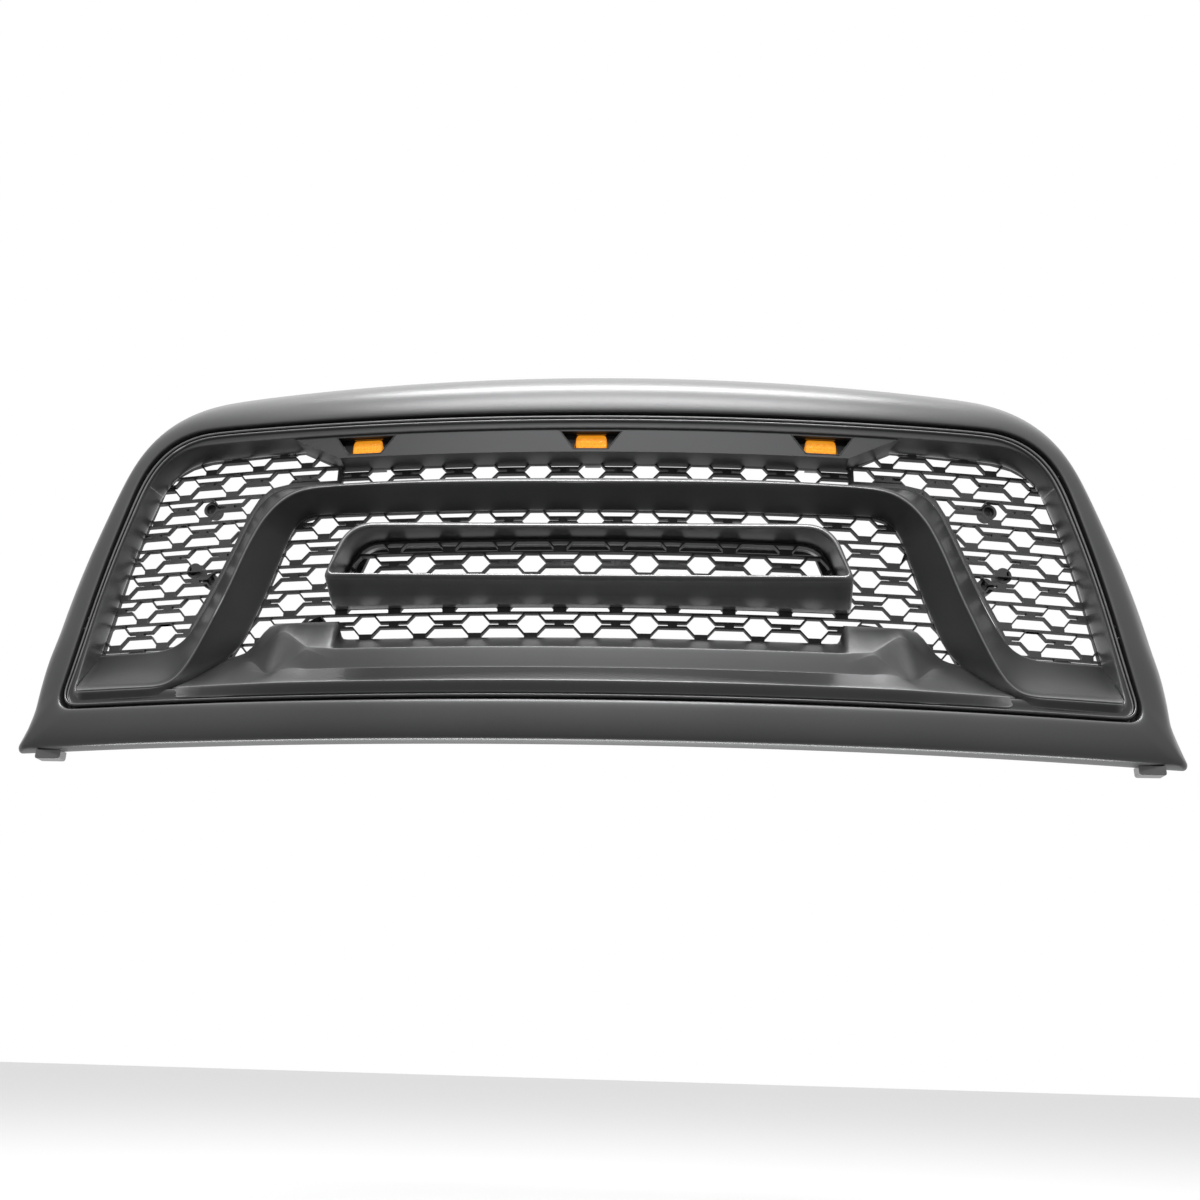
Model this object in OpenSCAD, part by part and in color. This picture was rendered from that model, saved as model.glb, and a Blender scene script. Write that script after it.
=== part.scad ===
// Front grille of a full-size pickup: painted outer shell, black insert frame,
// arch bezel, raised centre frame, honeycomb mesh and three amber marker lamps.
// +X is the car's left-right axis, -Y is the front, +Z is up.
// The origin is the centre of the middle bolt hole in the top mounting tabs.

/* [Overall] */
// Radius of the bow that every front surface follows in plan
bow_radius = 2435; // [2300:5:2700]
// Half width of the shell at its bottom corners
half_width = 640; // [638:1:644]
// Height of the shell's bottom edge below the grille's datum line
drop = 204; // [203:0.5:206]
// Height of the shell's rear top rim above the datum line
rise = 246; // [243:1:252]

/* [Shell] */
// Wall thickness of the shell
shell_wall = 3; // [2.5:0.1:3.5]
// Depth of the rear top rim behind the datum surface
rim_depth = 92; // [85:1:100]
// Half width of the shell's opening at its bottom corners
opening_half = 585; // [583:1:587]

/* [Mesh] */
// Spacing of the honeycomb columns along the bow
cell_pitch = 60.8; // [60:0.1:62]
// Front to back depth of a honeycomb strand
strand_depth = 7; // [6.5:0.5:9]
// Height of a honeycomb strand
strand = 2.5; // [2.4:0.1:3]
// Depth of the mesh behind the datum surface
mesh_depth = 18; // [18:1:20]

/* [Centre frame] */
// Half width of the centre frame along its bottom rim
frame_half = 280; // [270:1:284]
// Width of the centre frame's rim
rim_width = 6.5; // [5:0.5:8]
// Distance of the rim in front of the datum surface
rim_proud = 32; // [28:1:36]

/* [Lamps] */
// Distance of the outer marker lamps from the middle
lamp_spacing = 255; // [250:1:260]
// Width of an amber lens
lens_w = 38; // [36:1:40]
// Height of an amber lens
lens_h = 18; // [16:1:19]

/* [Fasteners] */
// Radius of the bolt holes in the top mounting tabs' steel sleeves
bolt_hole_r = 4.5; // [4:0.25:5]
// Radius of the bolt holes in the side mounting ears' steel sleeves
ear_hole_r = 4; // [3.5:0.25:4.5]
// Shank radius of the self-tapping screws
screw_r = 2; // [1.75:0.25:2.25]

/* [Hidden] */
$fn = 48;

// The bolt hole that is the origin, in the datum frame that all shapes are drawn in
tab_depth = rim_depth + 16;
tab_thick = 3;
tab_top = rise - 1;
module placed() translate([0, -tab_depth, -tab_top]) children();

// ---- shared geometry ----

function bow(x) = bow_radius - sqrt(bow_radius * bow_radius - x * x);
function bow_angle(x) = asin(x / bow_radius);
// x of a point at arc length s along the bow
function arc_x(s) = bow_radius * sin(s / bow_radius * 180 / PI);
function unit(v) = v / norm(v);
function mix(a, b, t) = a + (b - a) * t;
function reversed(list) = [for (i = [len(list) - 1:-1:0]) list[i]];
// Corners of the right half, followed by the same corners on the left
function mirrored(half) = concat(half, [for (c = reversed(half)) [-c[0], c[1], c[2], c[3]]]);

// Stations with more put in between, so that chords stay close to the bow
function station_x(s) = is_list(s[0]) ? s[0][0] : s[0];
function refined(list) = [
    for (i = [0:len(list) - 2])
        let (n = ceil((station_x(list[i + 1]) - station_x(list[i])) / 50))
        for (k = [0:n - 1]) mix(list[i], list[i + 1], k / n),
    list[len(list) - 1]
];

// A closed outline from corners [x, z, trim, depth]: each corner is blended over its trim
// length, and each edge is split into the number of pieces that splits gives
function outline(c, n, splits) = [
    for (i = [0:len(c) - 1])
        let (
            p = c[(i - 1 + len(c)) % len(c)],
            q = c[i],
            s = c[(i + 1) % len(c)],
            q2 = [q[0], q[1]],
            s2 = [s[0], s[1]],
            a = q2 + unit([p[0], p[1]] - q2) * q[2],
            b = q2 + unit(s2 - q2) * q[2],
            e = s2 + unit(q2 - s2) * s[2]
        )
        each concat(
            [for (k = [0:n]) let (t = k / n)
                concat(a * (1 - t) * (1 - t) + q2 * 2 * t * (1 - t) + b * t * t, [q[3]])],
            [for (k = [1:1:splits[i] - 1]) let (t = k / splits[i])
                concat(mix(b, e, t), [mix(q[3], s[3], t)])]
        )
];

// A point of an outline on the bow, and the same on a flat front
function on_bow(p) = [p[0], bow(p[0]) + p[2], p[1]];
function on_flat(p) = [p[0], p[2], p[1]];

// A closed tube of rings, each ring joined to the next and the last to the first
module ring_loft(rings) {
    r = len(rings);
    n = len(rings[0]);
    polyhedron(
        points = [for (ring = rings) each ring],
        faces = [
            for (i = [0:r - 1], j = [0:n - 1])
                let (
                    a = i * n + j,
                    b = i * n + (j + 1) % n,
                    c = ((i + 1) % r) * n + (j + 1) % n,
                    d = ((i + 1) % r) * n + j
                )
                each [[a, b, c], [a, c, d]]
        ],
        convexity = 6
    );
}

// A solid swept through sections, each a list of points, closed at both ends
module section_loft(sections) {
    r = len(sections);
    n = len(sections[0]);
    polyhedron(
        points = [for (s = sections) each s],
        faces = concat(
            [for (k = [1:n - 2]) [0, k + 1, k]],
            [for (k = [1:n - 2]) [(r - 1) * n, (r - 1) * n + k, (r - 1) * n + k + 1]],
            [
                for (i = [0:r - 2], j = [0:n - 1])
                    let (
                        a = i * n + j,
                        b = i * n + (j + 1) % n,
                        c = (i + 1) * n + (j + 1) % n,
                        d = (i + 1) * n + j
                    )
                    each [[a, b, c], [a, c, d]]
            ]
        ),
        convexity = 6
    );
}

// Puts children on the bow at x, facing square out of it; y = 0 is the datum surface
module facing(x, z = 0) translate([x, bow(x), z]) rotate([0, 0, bow_angle(x)]) children();

// A cylinder along Y from depth y0 to y1
module along_y(r, y0, y1) translate([0, y0, 0]) rotate([-90, 0, 0]) cylinder(r = r, h = y1 - y0);

// A pan-head self-tapping screw driven forwards from depth y
module screw(y, length, head_r = 3.6) {
    along_y(screw_r, y - length, y);
    along_y(head_r, y, y + 2.4);
}

// ---- shell ----

gap = 3;
open_bot = -160;
open_top = 170;
side_n = 6;
loop_splits = [2, 2, 2, 11, 2, 2, 2, 11];
crown_x = 436;

// Lowers the top run towards its ends by crown at crown_x, and leaves the lower half as it is
function crowned(p, crown) =
    let (t = max(0, min(1, (p[1] - 40) / 120)))
    [p[0], p[1] - crown * (p[0] / crown_x) * (p[0] / crown_x) * t * t * (3 - 2 * t), p[2]];

// One ring of the shell, from the corners of its right half: bottom, hip, side bend and top,
// each [x, z, trim, depth], and the drop of its crowned top run
function shell_ring(bottom, hip, side, top, crown) =
    [for (p = outline(mirrored([bottom, hip, side, top]), side_n, loop_splits)) on_bow(crowned(p, crown))];

bottom_z = 0.5 - drop;
shell_rings = [
    shell_ring([opening_half, open_bot, 24, 4], [574.8, -100, 30, 4], [558, 0, 50, 4],
               [513.5, open_top, 75, 4], 0),
    shell_ring([opening_half, open_bot, 24, -20], [574.8, -100, 30, -20], [558, 0, 50, -20],
               [513.5, open_top, 75, -20], 0),
    shell_ring([opening_half + 4, open_bot - 4, 22, -23], [578.5, -100, 30, -23], [561.5, 0, 50, -22.5],
               [517.5, open_top + 4, 76, -22], 0.5),
    shell_ring([602, -180, 16, -22], [593, -115, 30, -21], [575, -3, 50, -20.5], [523, 190, 82, -20.5], 3),
    shell_ring([612.5, -193, 12, -20], [607.5, -130, 30, -17], [586, -8, 50, -15], [527, 205, 92, -15], 6),
    shell_ring([618, -199, 10, -18], [615.5, -125, 30, -9], [596, -13, 50, -5], [530, 218, 100, -5], 8),
    shell_ring([622, bottom_z + 2.5, 8, -16], [623.5, -125, 30, 5], [605.5, -16, 50, 8],
               [532, 229.5, 106, 8], 10),
    shell_ring([626.5, bottom_z + 1.5, 8, -12], [630.5, -112, 30, 22], [612.5, -17, 50, 24],
               [534, 238, 110, 24], 11),
    shell_ring([630, bottom_z + 0.5, 8, -8], [633.5, -112, 30, 44], [615, -17, 50, 45],
               [538, rise - 2.5, 114, 45], 9),
    shell_ring([half_width - 8, bottom_z, 8, -4], [half_width - 4, -112, 30, 70], [617, -18, 50, 88],
               [543, rise, 116, rim_depth], 2),
    shell_ring([half_width - 8 - shell_wall, bottom_z + shell_wall, 8, -4],
               [half_width - 4 - shell_wall, -112, 30, 70], [617 - shell_wall, -18, 50, 88],
               [543 - shell_wall, rise - shell_wall, 115, rim_depth], 2),
    shell_ring([623.5, -198, 8, -6], [629.5, -112, 30, 40], [611, -17, 50, 42], [534, 238.5, 111, 42], 9),
    shell_ring([617.5, -196.5, 9, -11.5], [619, -120, 30, 9], [601.5, -15, 50, 12], [528, 225.5, 104, 13], 9),
    shell_ring([608, -189, 12, -16], [602.5, -126, 30, -12], [581, -7, 50, -10], [523.5, 201, 90, -10], 6),
    shell_ring([opening_half + 3, open_bot - 3, 24, 4], [577.8, -100, 30, 4], [561, 0, 50, 4],
               [517, open_top + 3, 76, 4], 0)
];

tab_x = [-430, -220, 0, 220, 430];
ear_z = [-95, 75];
ear_depth = 56;
ear_half = 14;
sleeve_wall = 1.5;
sleeve_flange = 3.5;
// x of the shell's side wall at the depth of the ears
function wall_x(z) = z < -18 ? 611 - (z + 18) * 0.235 : 613 - (z + 18) * 0.27;
function ear_hole_x(z) = wall_x(z) - 19;
screw_side = [[574, -60], [562, 40], [530, 128]];
screw_top_x = [60, 190, 320, 440];
screw_bottom_x = [90, 270, 450];
// Every screw that holds the insert in the shell, as [x, z]
shell_screw_at = [
    for (m = [-1, 1]) each concat(
        [for (p = screw_side) [m * p[0], p[1]]],
        [for (x = screw_top_x) [m * x, 183]],
        [for (x = screw_bottom_x) [m * x, -172]]
    )
];

module top_tab(x) {
    translate([x - 20, bow(x) + rim_depth - 8, tab_top - tab_thick]) difference() {
        cube([40, tab_depth - rim_depth + 18, tab_thick]);
        translate([20, tab_depth - rim_depth + 8, -1])
            cylinder(r = bolt_hole_r + sleeve_wall, h = tab_thick + 2);
    }
}

// Ear on the shell's side wall; its bolt hole is 19 mm in from the wall
module side_ear(z) translate([0, bow(wall_x(z)) + ear_depth, 0]) difference() {
    extruded(0, tab_thick) polygon([
        [ear_hole_x(z) - 10, z - ear_half], [wall_x(z - ear_half), z - ear_half],
        [wall_x(z + ear_half), z + ear_half], [ear_hole_x(z) - 10, z + ear_half]
    ]);
    translate([ear_hole_x(z), 0, z]) along_y(ear_hole_r + sleeve_wall, -1, tab_thick + 1);
}

module locating_tab(m) {
    translate([m * 588 - 14, bow(588) - 12, -drop - 8]) cube([28, 15, 10]);
}

module outer_shell() color([0.33, 0.34, 0.35]) {
    ring_loft(shell_rings);
    for (x = tab_x) top_tab(x);
    for (m = [-1, 1]) {
        mirror([m < 0 ? 1 : 0, 0, 0]) for (z = ear_z) side_ear(z);
        locating_tab(m);
    }
    for (p = shell_screw_at) difference() {
        facing(p[0], p[1]) along_y(5.5, -12, 9);
        facing(p[0], p[1]) along_y(screw_r, -4, 10);
    }
}

// ---- insert frame ----

wing_low = -87;
insert_splits = [1, 1, 2, 2, 11, 2, 2, 1, 1, 9];

// One ring of the insert: the shell's opening moved inwards, with two more lower corners
// where the wings end beside the lower bar
function insert_ring(lower, side, upper, wing_end, bar_end) =
    let (half = [bar_end, wing_end, lower, side, upper])
    [for (p = outline(mirrored(half), 5, insert_splits)) on_bow(p)];

// A ring inset by d from the gap, at one depth all round
function inset_ring(d, depth) = insert_ring(
    [opening_half - gap - d, open_bot + gap + d, 22 - d / 2, depth],
    [557.5 - gap - d, 0, 60, depth],
    [513.5 - gap - d, open_top - gap - d, 74 - d, depth],
    [470, open_bot + gap + d, 3, depth],
    [440, open_bot + gap + min(d, 2.5), 3, depth]
);

crest_z = -141;
bar_seat = -154.2;
wall_foot = mesh_depth - 0.5;
insert_rings = [
    inset_ring(0, 12),
    inset_ring(0, -16),
    inset_ring(1.5, -19),
    inset_ring(4.5, -19.5),
    inset_ring(6.5, -17.5),
    inset_ring(7.5, -15.5),
    insert_ring([566, crest_z, 8, -19], [540.5, 0, 60, -15], [497.5, 153, 62, -15],
                [470, crest_z, 3, -22], [452, bar_seat, 3, -23]),
    insert_ring([560, -112, 8, 3], [541, -1, 60, 8], [499.5, 153, 60, 8],
                [466, -112, 3, 0], [451, bar_seat, 3, -18]),
    insert_ring([557, wing_low, 6, wall_foot], [540, 0, 60, wall_foot], [499, 153, 58, wall_foot],
                [463, wing_low, 3, wall_foot], [450, bar_seat, 3, -14]),
    insert_ring([566, wing_low - 10, 8, wall_foot], [548, 0, 60, wall_foot], [504, 157, 60, wall_foot],
                [463, wing_low - 12, 3, wall_foot], [446, -155, 3, -12]),
    insert_ring([576, -150, 16, 12], [550, 0, 60, 12], [507, 160, 66, 12],
                [468, -152, 3, 6], [444, -156, 3, -10])
];

ear_reach = 16;
module insert_ear(x, z) {
    // Flat lug from the insert's rear edge out to the screw
    dir = abs(z) > 150 ? [0, z > 0 ? -1 : 1] : [x > 0 ? -1 : 1, 0];
    difference() {
        facing(x, z) union() {
            along_y(7, 9.2, 12);
            translate([dir[0] * ear_reach / 2 - (dir[0] == 0 ? 6 : 10), 9.2,
                       dir[1] * ear_reach / 2 - (dir[1] == 0 ? 6 : 10)])
                cube([dir[0] == 0 ? 12 : 20, 2.8, dir[1] == 0 ? 12 : 20]);
        }
        facing(x, z) along_y(screw_r + 0.3, 8, 13);
    }
}

module insert_frame() color([0.25, 0.26, 0.27]) {
    ring_loft(reversed(insert_rings));
    for (p = shell_screw_at) insert_ear(p[0], p[1]);
}

// ---- lamp panel ----

panel_top = 152.7;
panel_low = 124;
panel_wide = 345;
panel_narrow = 285;
panel_front = -13;
panel_wall = 3;
lamp_x = [-lamp_spacing, 0, lamp_spacing];
pocket_top = 150;
pocket_low = 127;
pocket_wide = 35.5;
pocket_narrow = 19.5;

// A slab that follows the bow between two depths, in flat facets no wider than half a cell
facet_count = 44;
facet_x = [for (i = [-facet_count / 2:facet_count / 2]) i * half_width * 2 / facet_count];
module bow_slab(front, back, z0, z1) translate([0, 0, z0]) linear_extrude(height = z1 - z0) polygon(concat(
    [for (x = facet_x) [x, bow(x) + front]],
    [for (x = reversed(facet_x)) [x, bow(x) + back]]
));

// Extrudes a shape drawn in the X-Z plane along Y
module extruded(y0, y1) translate([0, y1, 0]) rotate([90, 0, 0])
    linear_extrude(height = y1 - y0) children();

module pocket_shape(grow = 0) polygon([
    [-pocket_wide - grow, pocket_top + grow], [pocket_wide + grow, pocket_top + grow],
    [pocket_narrow + grow, pocket_low - grow], [-pocket_narrow - grow, pocket_low - grow]
]);

module panel_shape(grow = 0) polygon([
    [-panel_wide - grow, panel_top], [panel_wide + grow, panel_top],
    [panel_narrow + grow, panel_low - grow], [-panel_narrow - grow, panel_low - grow]
]);

panel_screw_x = [-300, -190, -65, 65, 190, 300];

module lamp_panel() color([0.27, 0.28, 0.29]) {
    difference() {
        intersection() {
            extruded(-20, 60) panel_shape();
            bow_slab(panel_front, mesh_depth - 0.5, panel_low - 1, panel_top + 1);
        }
        // Hollow back behind the face and the underside
        intersection() {
            extruded(-20, 60) panel_shape(-panel_wall);
            bow_slab(panel_front + panel_wall, mesh_depth + 2, panel_low - 1, panel_top + 5);
        }
        for (x = lamp_x) facing(x) extruded(-20, 0) pocket_shape();
    }
    for (x = panel_screw_x) facing(x, 140) difference() {
        along_y(5, panel_front + 1, mesh_depth - 0.5);
        along_y(screw_r, 0, mesh_depth);
    }
}

// ---- arch bezel ----

crest_depth = -22;
arch_base = mesh_depth - 0.3;
// Half of each line of the arch from the middle out to the foot, as [x, z]
arch_crest = [[0, 83], [110, 84], [220, 85], [300, 84], [326, 80], [345, 70], [358, 56], [368, 40],
              [380, 10], [394, -30], [407, -64], [418, -92], [429, -117], [446, -138]];
arch_inner = [[0, 66], [110, 66.5], [220, 67], [296, 68], [314, 67], [326, 62], [335, 54], [342, 44],
              [352, 10], [362, -24], [371, -53], [379, -75], [386, -90], [396, -98]];
arch_outer = [[0, 96], [110, 97], [220, 99], [312, 104], [345, 106], [368, 101], [382, 90], [391, 74],
              [403, 42], [417, 4], [430, -26], [440, -48], [448, -66], [452, -96]];

// Stations of the arch, each [crest, inner edge, outer edge]
arch_stations = [for (i = [0:len(arch_crest) - 1]) [arch_crest[i], arch_inner[i], arch_outer[i]]];

// One cross-section of the arch on the bow
function arch_section(s, m) = [
    for (p = [
        concat(s[1], [arch_base]),
        concat(mix(s[0], s[1], 0.10), [crest_depth + 2]),
        concat(s[0], [crest_depth]),
        concat(mix(s[0], s[2], 0.16), [crest_depth + 1]),
        concat(s[2], [arch_base])
    ]) on_bow([m * p[0], p[1], p[2]])
];
arch_half = refined(arch_stations);
arch_sections = concat(
    [for (i = [len(arch_half) - 1:-1:1]) arch_section(arch_half[i], -1)],
    [for (s = arch_half) arch_section(s, 1)]
);
arch_screw_side = [[70, 82], [250, 84], [357, 85], [376, 35], [399, -25], [424, -78]];
arch_screw_at = [for (m = [-1, 1], p = arch_screw_side) [m * p[0], p[1]]];

module arch_bezel() color([0.24, 0.25, 0.26]) difference() {
    section_loft(arch_sections);
    for (p = arch_screw_at) facing(p[0], p[1]) along_y(screw_r, 4, 30);
}

// ---- lower bar ----

bar_depth = mesh_depth - 0.3;
bar_rear = mesh_depth + 6;
// Stations of half of the bar: x, then [depth, z] of the top edge, ledge, face foot and crest
bar_stations = [
    [0, [bar_depth, -82], [-7, -100], [-9, -123], [-23, -141]],
    [140, [bar_depth, -82], [-7, -100], [-9, -123], [-23, -141]],
    [270, [bar_depth, -82], [-7, -100], [-9, -123], [-23, -141]],
    [275, [bar_depth, -61], [-7, -99], [-9, -123], [-23, -141]],
    [302, [bar_depth, -61], [-7, -98], [-9, -122], [-23, -141]],
    [322, [bar_depth, -61], [2, -82], [-6, -122], [-23, -141]],
    [341, [bar_depth, -61], [11, -72], [1, -118], [-22, -141]],
    [356, [bar_depth, -63], [13, -76], [3, -116], [-21, -141]],
    [378, [bar_depth, -97], [14, -102], [4, -121], [-20, -141]],
    [396, [bar_depth, -100], [14, -105], [3, -124], [-20, -141.5]],
    [440, [bar_depth, -118], [8, -126], [-6, -134], [-20, -142]]
];
// One cross-section of the bar: its rear foot first, then round by the underside to the top edge
function bar_section(s, m) = [
    for (p = [[bar_depth, min(s[1][1] - 10, -104)], [bar_rear, min(s[1][1] - 12, -106)], [bar_rear, -142],
              [0, -153.5], [-18, -153], s[4], s[3], s[2], s[1]])
        on_bow([m * s[0], p[1], p[0]])
];
bar_half = refined(bar_stations);
bar_sections = concat(
    [for (i = [len(bar_half) - 1:-1:1]) bar_section(bar_half[i], -1)],
    [for (s = bar_half) bar_section(s, 1)]
);
bar_screw_x = [-330, -200, -70, 70, 200, 330];
bar_screw_z = -124;

module lower_bar() color([0.36, 0.37, 0.38]) difference() {
    section_loft(bar_sections);
    for (x = bar_screw_x) facing(x, bar_screw_z) along_y(screw_r, 6, 40);
}

// ---- centre frame ----

frame_top = 31;
frame_bot = -35;
frame_rear = mesh_depth - 0.3;
frame_splits = [2, 10, 2, 10];
infill_depth = -6;

// One ring of the centre frame, flat in plan at its front and on the bow at its rear
function frame_ring(low_x, low_z, low_t, up_x, up_z, up_t, depth, bowed) = [
    for (p = outline(mirrored([[low_x, low_z, low_t, depth], [up_x, up_z, up_t, depth]]), 8, frame_splits))
        bowed ? on_bow(p) : on_flat(p)
];
frame_rings = [
    frame_ring(frame_half + 5, -49, 8, 262, 34, 30, frame_rear, true),
    frame_ring(frame_half, frame_bot, 9, 258.5, frame_top, 30, -rim_proud, false),
    frame_ring(frame_half - 1.5, frame_bot + 1.5, 9, 257.5, frame_top - 1.5, 29, -rim_proud - 1.5, false),
    frame_ring(frame_half - rim_width + 1, frame_bot + rim_width - 1, 7, 253, frame_top - rim_width + 1, 25,
               -rim_proud - 1.5, false),
    frame_ring(frame_half - rim_width, frame_bot + rim_width, 7, 252, frame_top - rim_width, 24,
               -rim_proud, false),
    frame_ring(frame_half - rim_width - 3, frame_bot + rim_width + 2, 6, 249, frame_top - rim_width - 3, 22,
               frame_rear, true)
];
frame_screw_side = [[60, 28.5], [200, 28.5], [30, -36], [140, -36], [250, -36]];
frame_screw_at = [for (m = [-1, 1], p = frame_screw_side) [m * p[0], p[1]]];

module centre_frame() color([0.24, 0.25, 0.26]) difference() {
    ring_loft(reversed(frame_rings));
    for (p = frame_screw_at) facing(p[0], p[1]) along_y(1.5, 4, 30);
}

// ---- honeycomb mesh ----

row_pitch = cell_pitch / 2;
row_top = 116.5;
high = 12;
low = 2.8;
narrow_half = 7;
web_half = 5;
ligament = 1.5;

// Outline of a big cell at column s, with the slit on either side up to the short webs
function big_cell(s) = [
    for (k = [1, -1]) each [
        for (p = [
            [web_half - cell_pitch / 2, low - strand / 2], [-cell_pitch / 4, low - strand / 2],
            [-narrow_half, high - strand / 2], [narrow_half, high - strand / 2],
            [cell_pitch / 4, low - strand / 2], [cell_pitch / 2 - web_half, low - strand / 2]
        ]) [arc_x(s + k * p[0]), k * p[1]]
    ]
];

// Opening between a row's dip at s and the ligament above it, narrow at its foot
function dip_cell(s) = [
    for (p = [[-cell_pitch / 4, low + strand / 2], [cell_pitch / 4, low + strand / 2],
              [cell_pitch / 2 - narrow_half - 1.3, high], [narrow_half + 1.3 - cell_pitch / 2, high]])
        [arc_x(s + p[0]), p[1]]
];

// Opening above a big cell at s, from the ligament up to the row above, wide at its foot
function crown_cell(s) = [
    for (p = [[narrow_half - cell_pitch / 2, high + ligament],
              [cell_pitch / 2 - narrow_half, high + ligament],
              [cell_pitch / 2 - narrow_half, row_pitch - high - strand / 2],
              [cell_pitch / 4, row_pitch - low - strand / 2], [-cell_pitch / 4, row_pitch - low - strand / 2],
              [narrow_half - cell_pitch / 2, row_pitch - high - strand / 2]])
        [arc_x(s + p[0]), p[1]]
];

// The openings of rows r0 to r1 between columns c0 and c1
module honeycomb(r0, r1, c0, c1) {
    for (r = [r0:r1], c = [c0:c1]) translate([0, row_top - r * row_pitch]) {
        s = (c + (r % 2) / 2) * cell_pitch;
        polygon(big_cell(s));
        polygon(dip_cell(s + cell_pitch / 2));
        polygon(crown_cell(s));
    }
}

// A mesh panel: a plate on the bow with the openings cut through it inside its border,
// except where it stays whole (kept) and where it is cut right out (window)
module mesh_panel(front, depth, r0, r1, c0, c1, border, shape, kept = [], window = []) intersection() {
    extruded(-60, 110) difference() {
        polygon(shape);
        intersection() {
            offset(delta = -border) polygon(shape);
            difference() {
                honeycomb(r0, r1, c0, c1);
                if (len(kept) > 0) polygon(kept);
            }
        }
        if (len(window) > 0) polygon(window);
    }
    bow_slab(front, front + depth, -110, 165);
}

wing_shape = [[452, -90], [560, -90], [544, 5], [528, 70], [514, 118], [500, 134], [480, 144], [456, 149],
              [338, 153], [301, 134.5], [291.5, 128.5], [291.5, 108], [345, 108], [372, 103], [385, 91], [394, 74],
              [406, 42], [420, 4], [433, -26], [443, -48], [450, -66]];
strip_shape = [[-291, 127], [291, 127], [291, 97], [150, 94], [-150, 94], [-291, 97]];
centre_half = [[277, -86], [277, -64], [347, -64], [369, -98], [392, -103], [399, -99], [376, -54],
               [366, -24], [356, 10], [346, 46], [338, 58], [328, 66], [314, 70]];
centre_shape = concat(centre_half, [for (p = reversed(centre_half)) [-p[0], p[1]]]);
infill_corners = [[270.4, -26.8, 6, 0], [249.6, 21.6, 22, 0]];
infill_shape = [for (p = outline(mirrored(infill_corners), 5, [1, 1, 1, 1])) [p[0], p[1]]];
// Solid band of the centre mesh behind the centre frame, and the opening inside that band
frame_band = [[-282, -46], [282, -46], [262, 31], [-262, 31]];
frame_window = [[-262, -24], [262, -24], [246, 19], [-246, 19]];

// Ring bosses on the back of a wing mesh that take push-in retainers
boss_at = [[452, 86.3], [462, 10], [440, -4]];

module wing_mesh(m) color([0.13, 0.13, 0.14]) {
    mirror([m < 0 ? 1 : 0, 0, 0]) {
        mesh_panel(mesh_depth, strand_depth, -1, 7, 4, 9, 3, wing_shape);
        for (p = boss_at) facing(p[0], p[1]) difference() {
            along_y(9, mesh_depth + 3, mesh_depth + 16);
            along_y(6, mesh_depth, mesh_depth + 20);
        }
    }
}

module mesh_wing_left() wing_mesh(-1);
module mesh_wing_right() wing_mesh(1);
module mesh_top_strip() color([0.13, 0.13, 0.14])
    mesh_panel(mesh_depth, strand_depth, -1, 1, -6, 5, 2.5, strip_shape);
module mesh_centre() color([0.13, 0.13, 0.14]) difference() {
    mesh_panel(mesh_depth, strand_depth, 1, 7, -8, 7, 3, centre_shape, frame_band, frame_window);
    for (p = frame_screw_at) facing(p[0], p[1]) along_y(screw_r, 10, 40);
}
module mesh_infill() color([0.13, 0.13, 0.14])
    mesh_panel(infill_depth, 8, 3, 6, -6, 5, 2.5, infill_shape);

// ---- marker lamps ----

lens_front = -6;
board_depth = 12;
housing_back = 26;
lamp_mid = 137;

module lens_shape(grow = 0) polygon([
    [-lens_w / 2 + 3 - grow, pocket_low + 0.6 - grow], [lens_w / 2 - 3 + grow, pocket_low + 0.6 - grow],
    [lens_w / 2 + grow, pocket_low + 6], [lens_w / 2 - 1.5 + grow, pocket_low + lens_h - 4 + grow],
    [lens_w / 2 - 6, pocket_low + lens_h + grow], [6 - lens_w / 2, pocket_low + lens_h + grow],
    [1.5 - lens_w / 2 - grow, pocket_low + lens_h - 4 + grow], [-lens_w / 2 - grow, pocket_low + 6]
]);

lamp_half = 27;
lamp_cavity = 21.5;
lamp_screw = 24.3;
housing_shape = [[-lamp_half, 127.4], [lamp_half, 127.4], [lamp_half, 148], [-lamp_half, 148]];
board_shape = [[-lamp_cavity, 129.4], [lamp_cavity, 129.4], [lamp_cavity, 146], [-lamp_cavity, 146]];

// Black tray behind the panel's pocket: a face round the lens and a box for the board
module lamp_housing(x) color([0.05, 0.05, 0.05]) facing(x) difference() {
    union() {
        extruded(panel_front + 4, 2) pocket_shape(-0.4);
        extruded(2, housing_back) polygon(housing_shape);
    }
    // Recess in front of the lens face, and the cavity behind it
    extruded(panel_front, lens_front + 3) pocket_shape(-2);
    extruded(panel_front, 9) lens_shape(0.3);
    extruded(8, housing_back + 1) polygon(board_shape);
    for (m = [-1, 1]) translate([m * lamp_screw, 0, lamp_mid]) along_y(0.9, 20, housing_back + 1);
}
module lamp_lens(x) color([1.0, 0.55, 0.05]) facing(x) {
    extruded(lens_front, 8) lens_shape();
}
module lamp_board(x) color([0.1, 0.35, 0.15]) facing(x) {
    extruded(board_depth, board_depth + 1.6) polygon(board_shape);
    for (i = [-1, 0, 1]) translate([i * 11 - 1.75, board_depth - 1, 135]) cube([3.5, 1.2, 3.5]);
}
// Rear cover with the connector inlet
module lamp_cover(x) color([0.07, 0.07, 0.07]) facing(x) difference() {
    union() {
        extruded(housing_back, housing_back + 2) polygon(housing_shape);
        extruded(housing_back + 2, housing_back + 16) polygon([[-9, 130.5], [9, 130.5], [9, 143], [-9, 143]]);
    }
    extruded(housing_back + 4, housing_back + 17)
        polygon([[-7.2, 132.2], [7.2, 132.2], [7.2, 141.2], [-7.2, 141.2]]);
    for (m = [-1, 1]) translate([m * lamp_screw, 0, lamp_mid])
        along_y(1.2, housing_back - 1, housing_back + 3);
}

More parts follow.
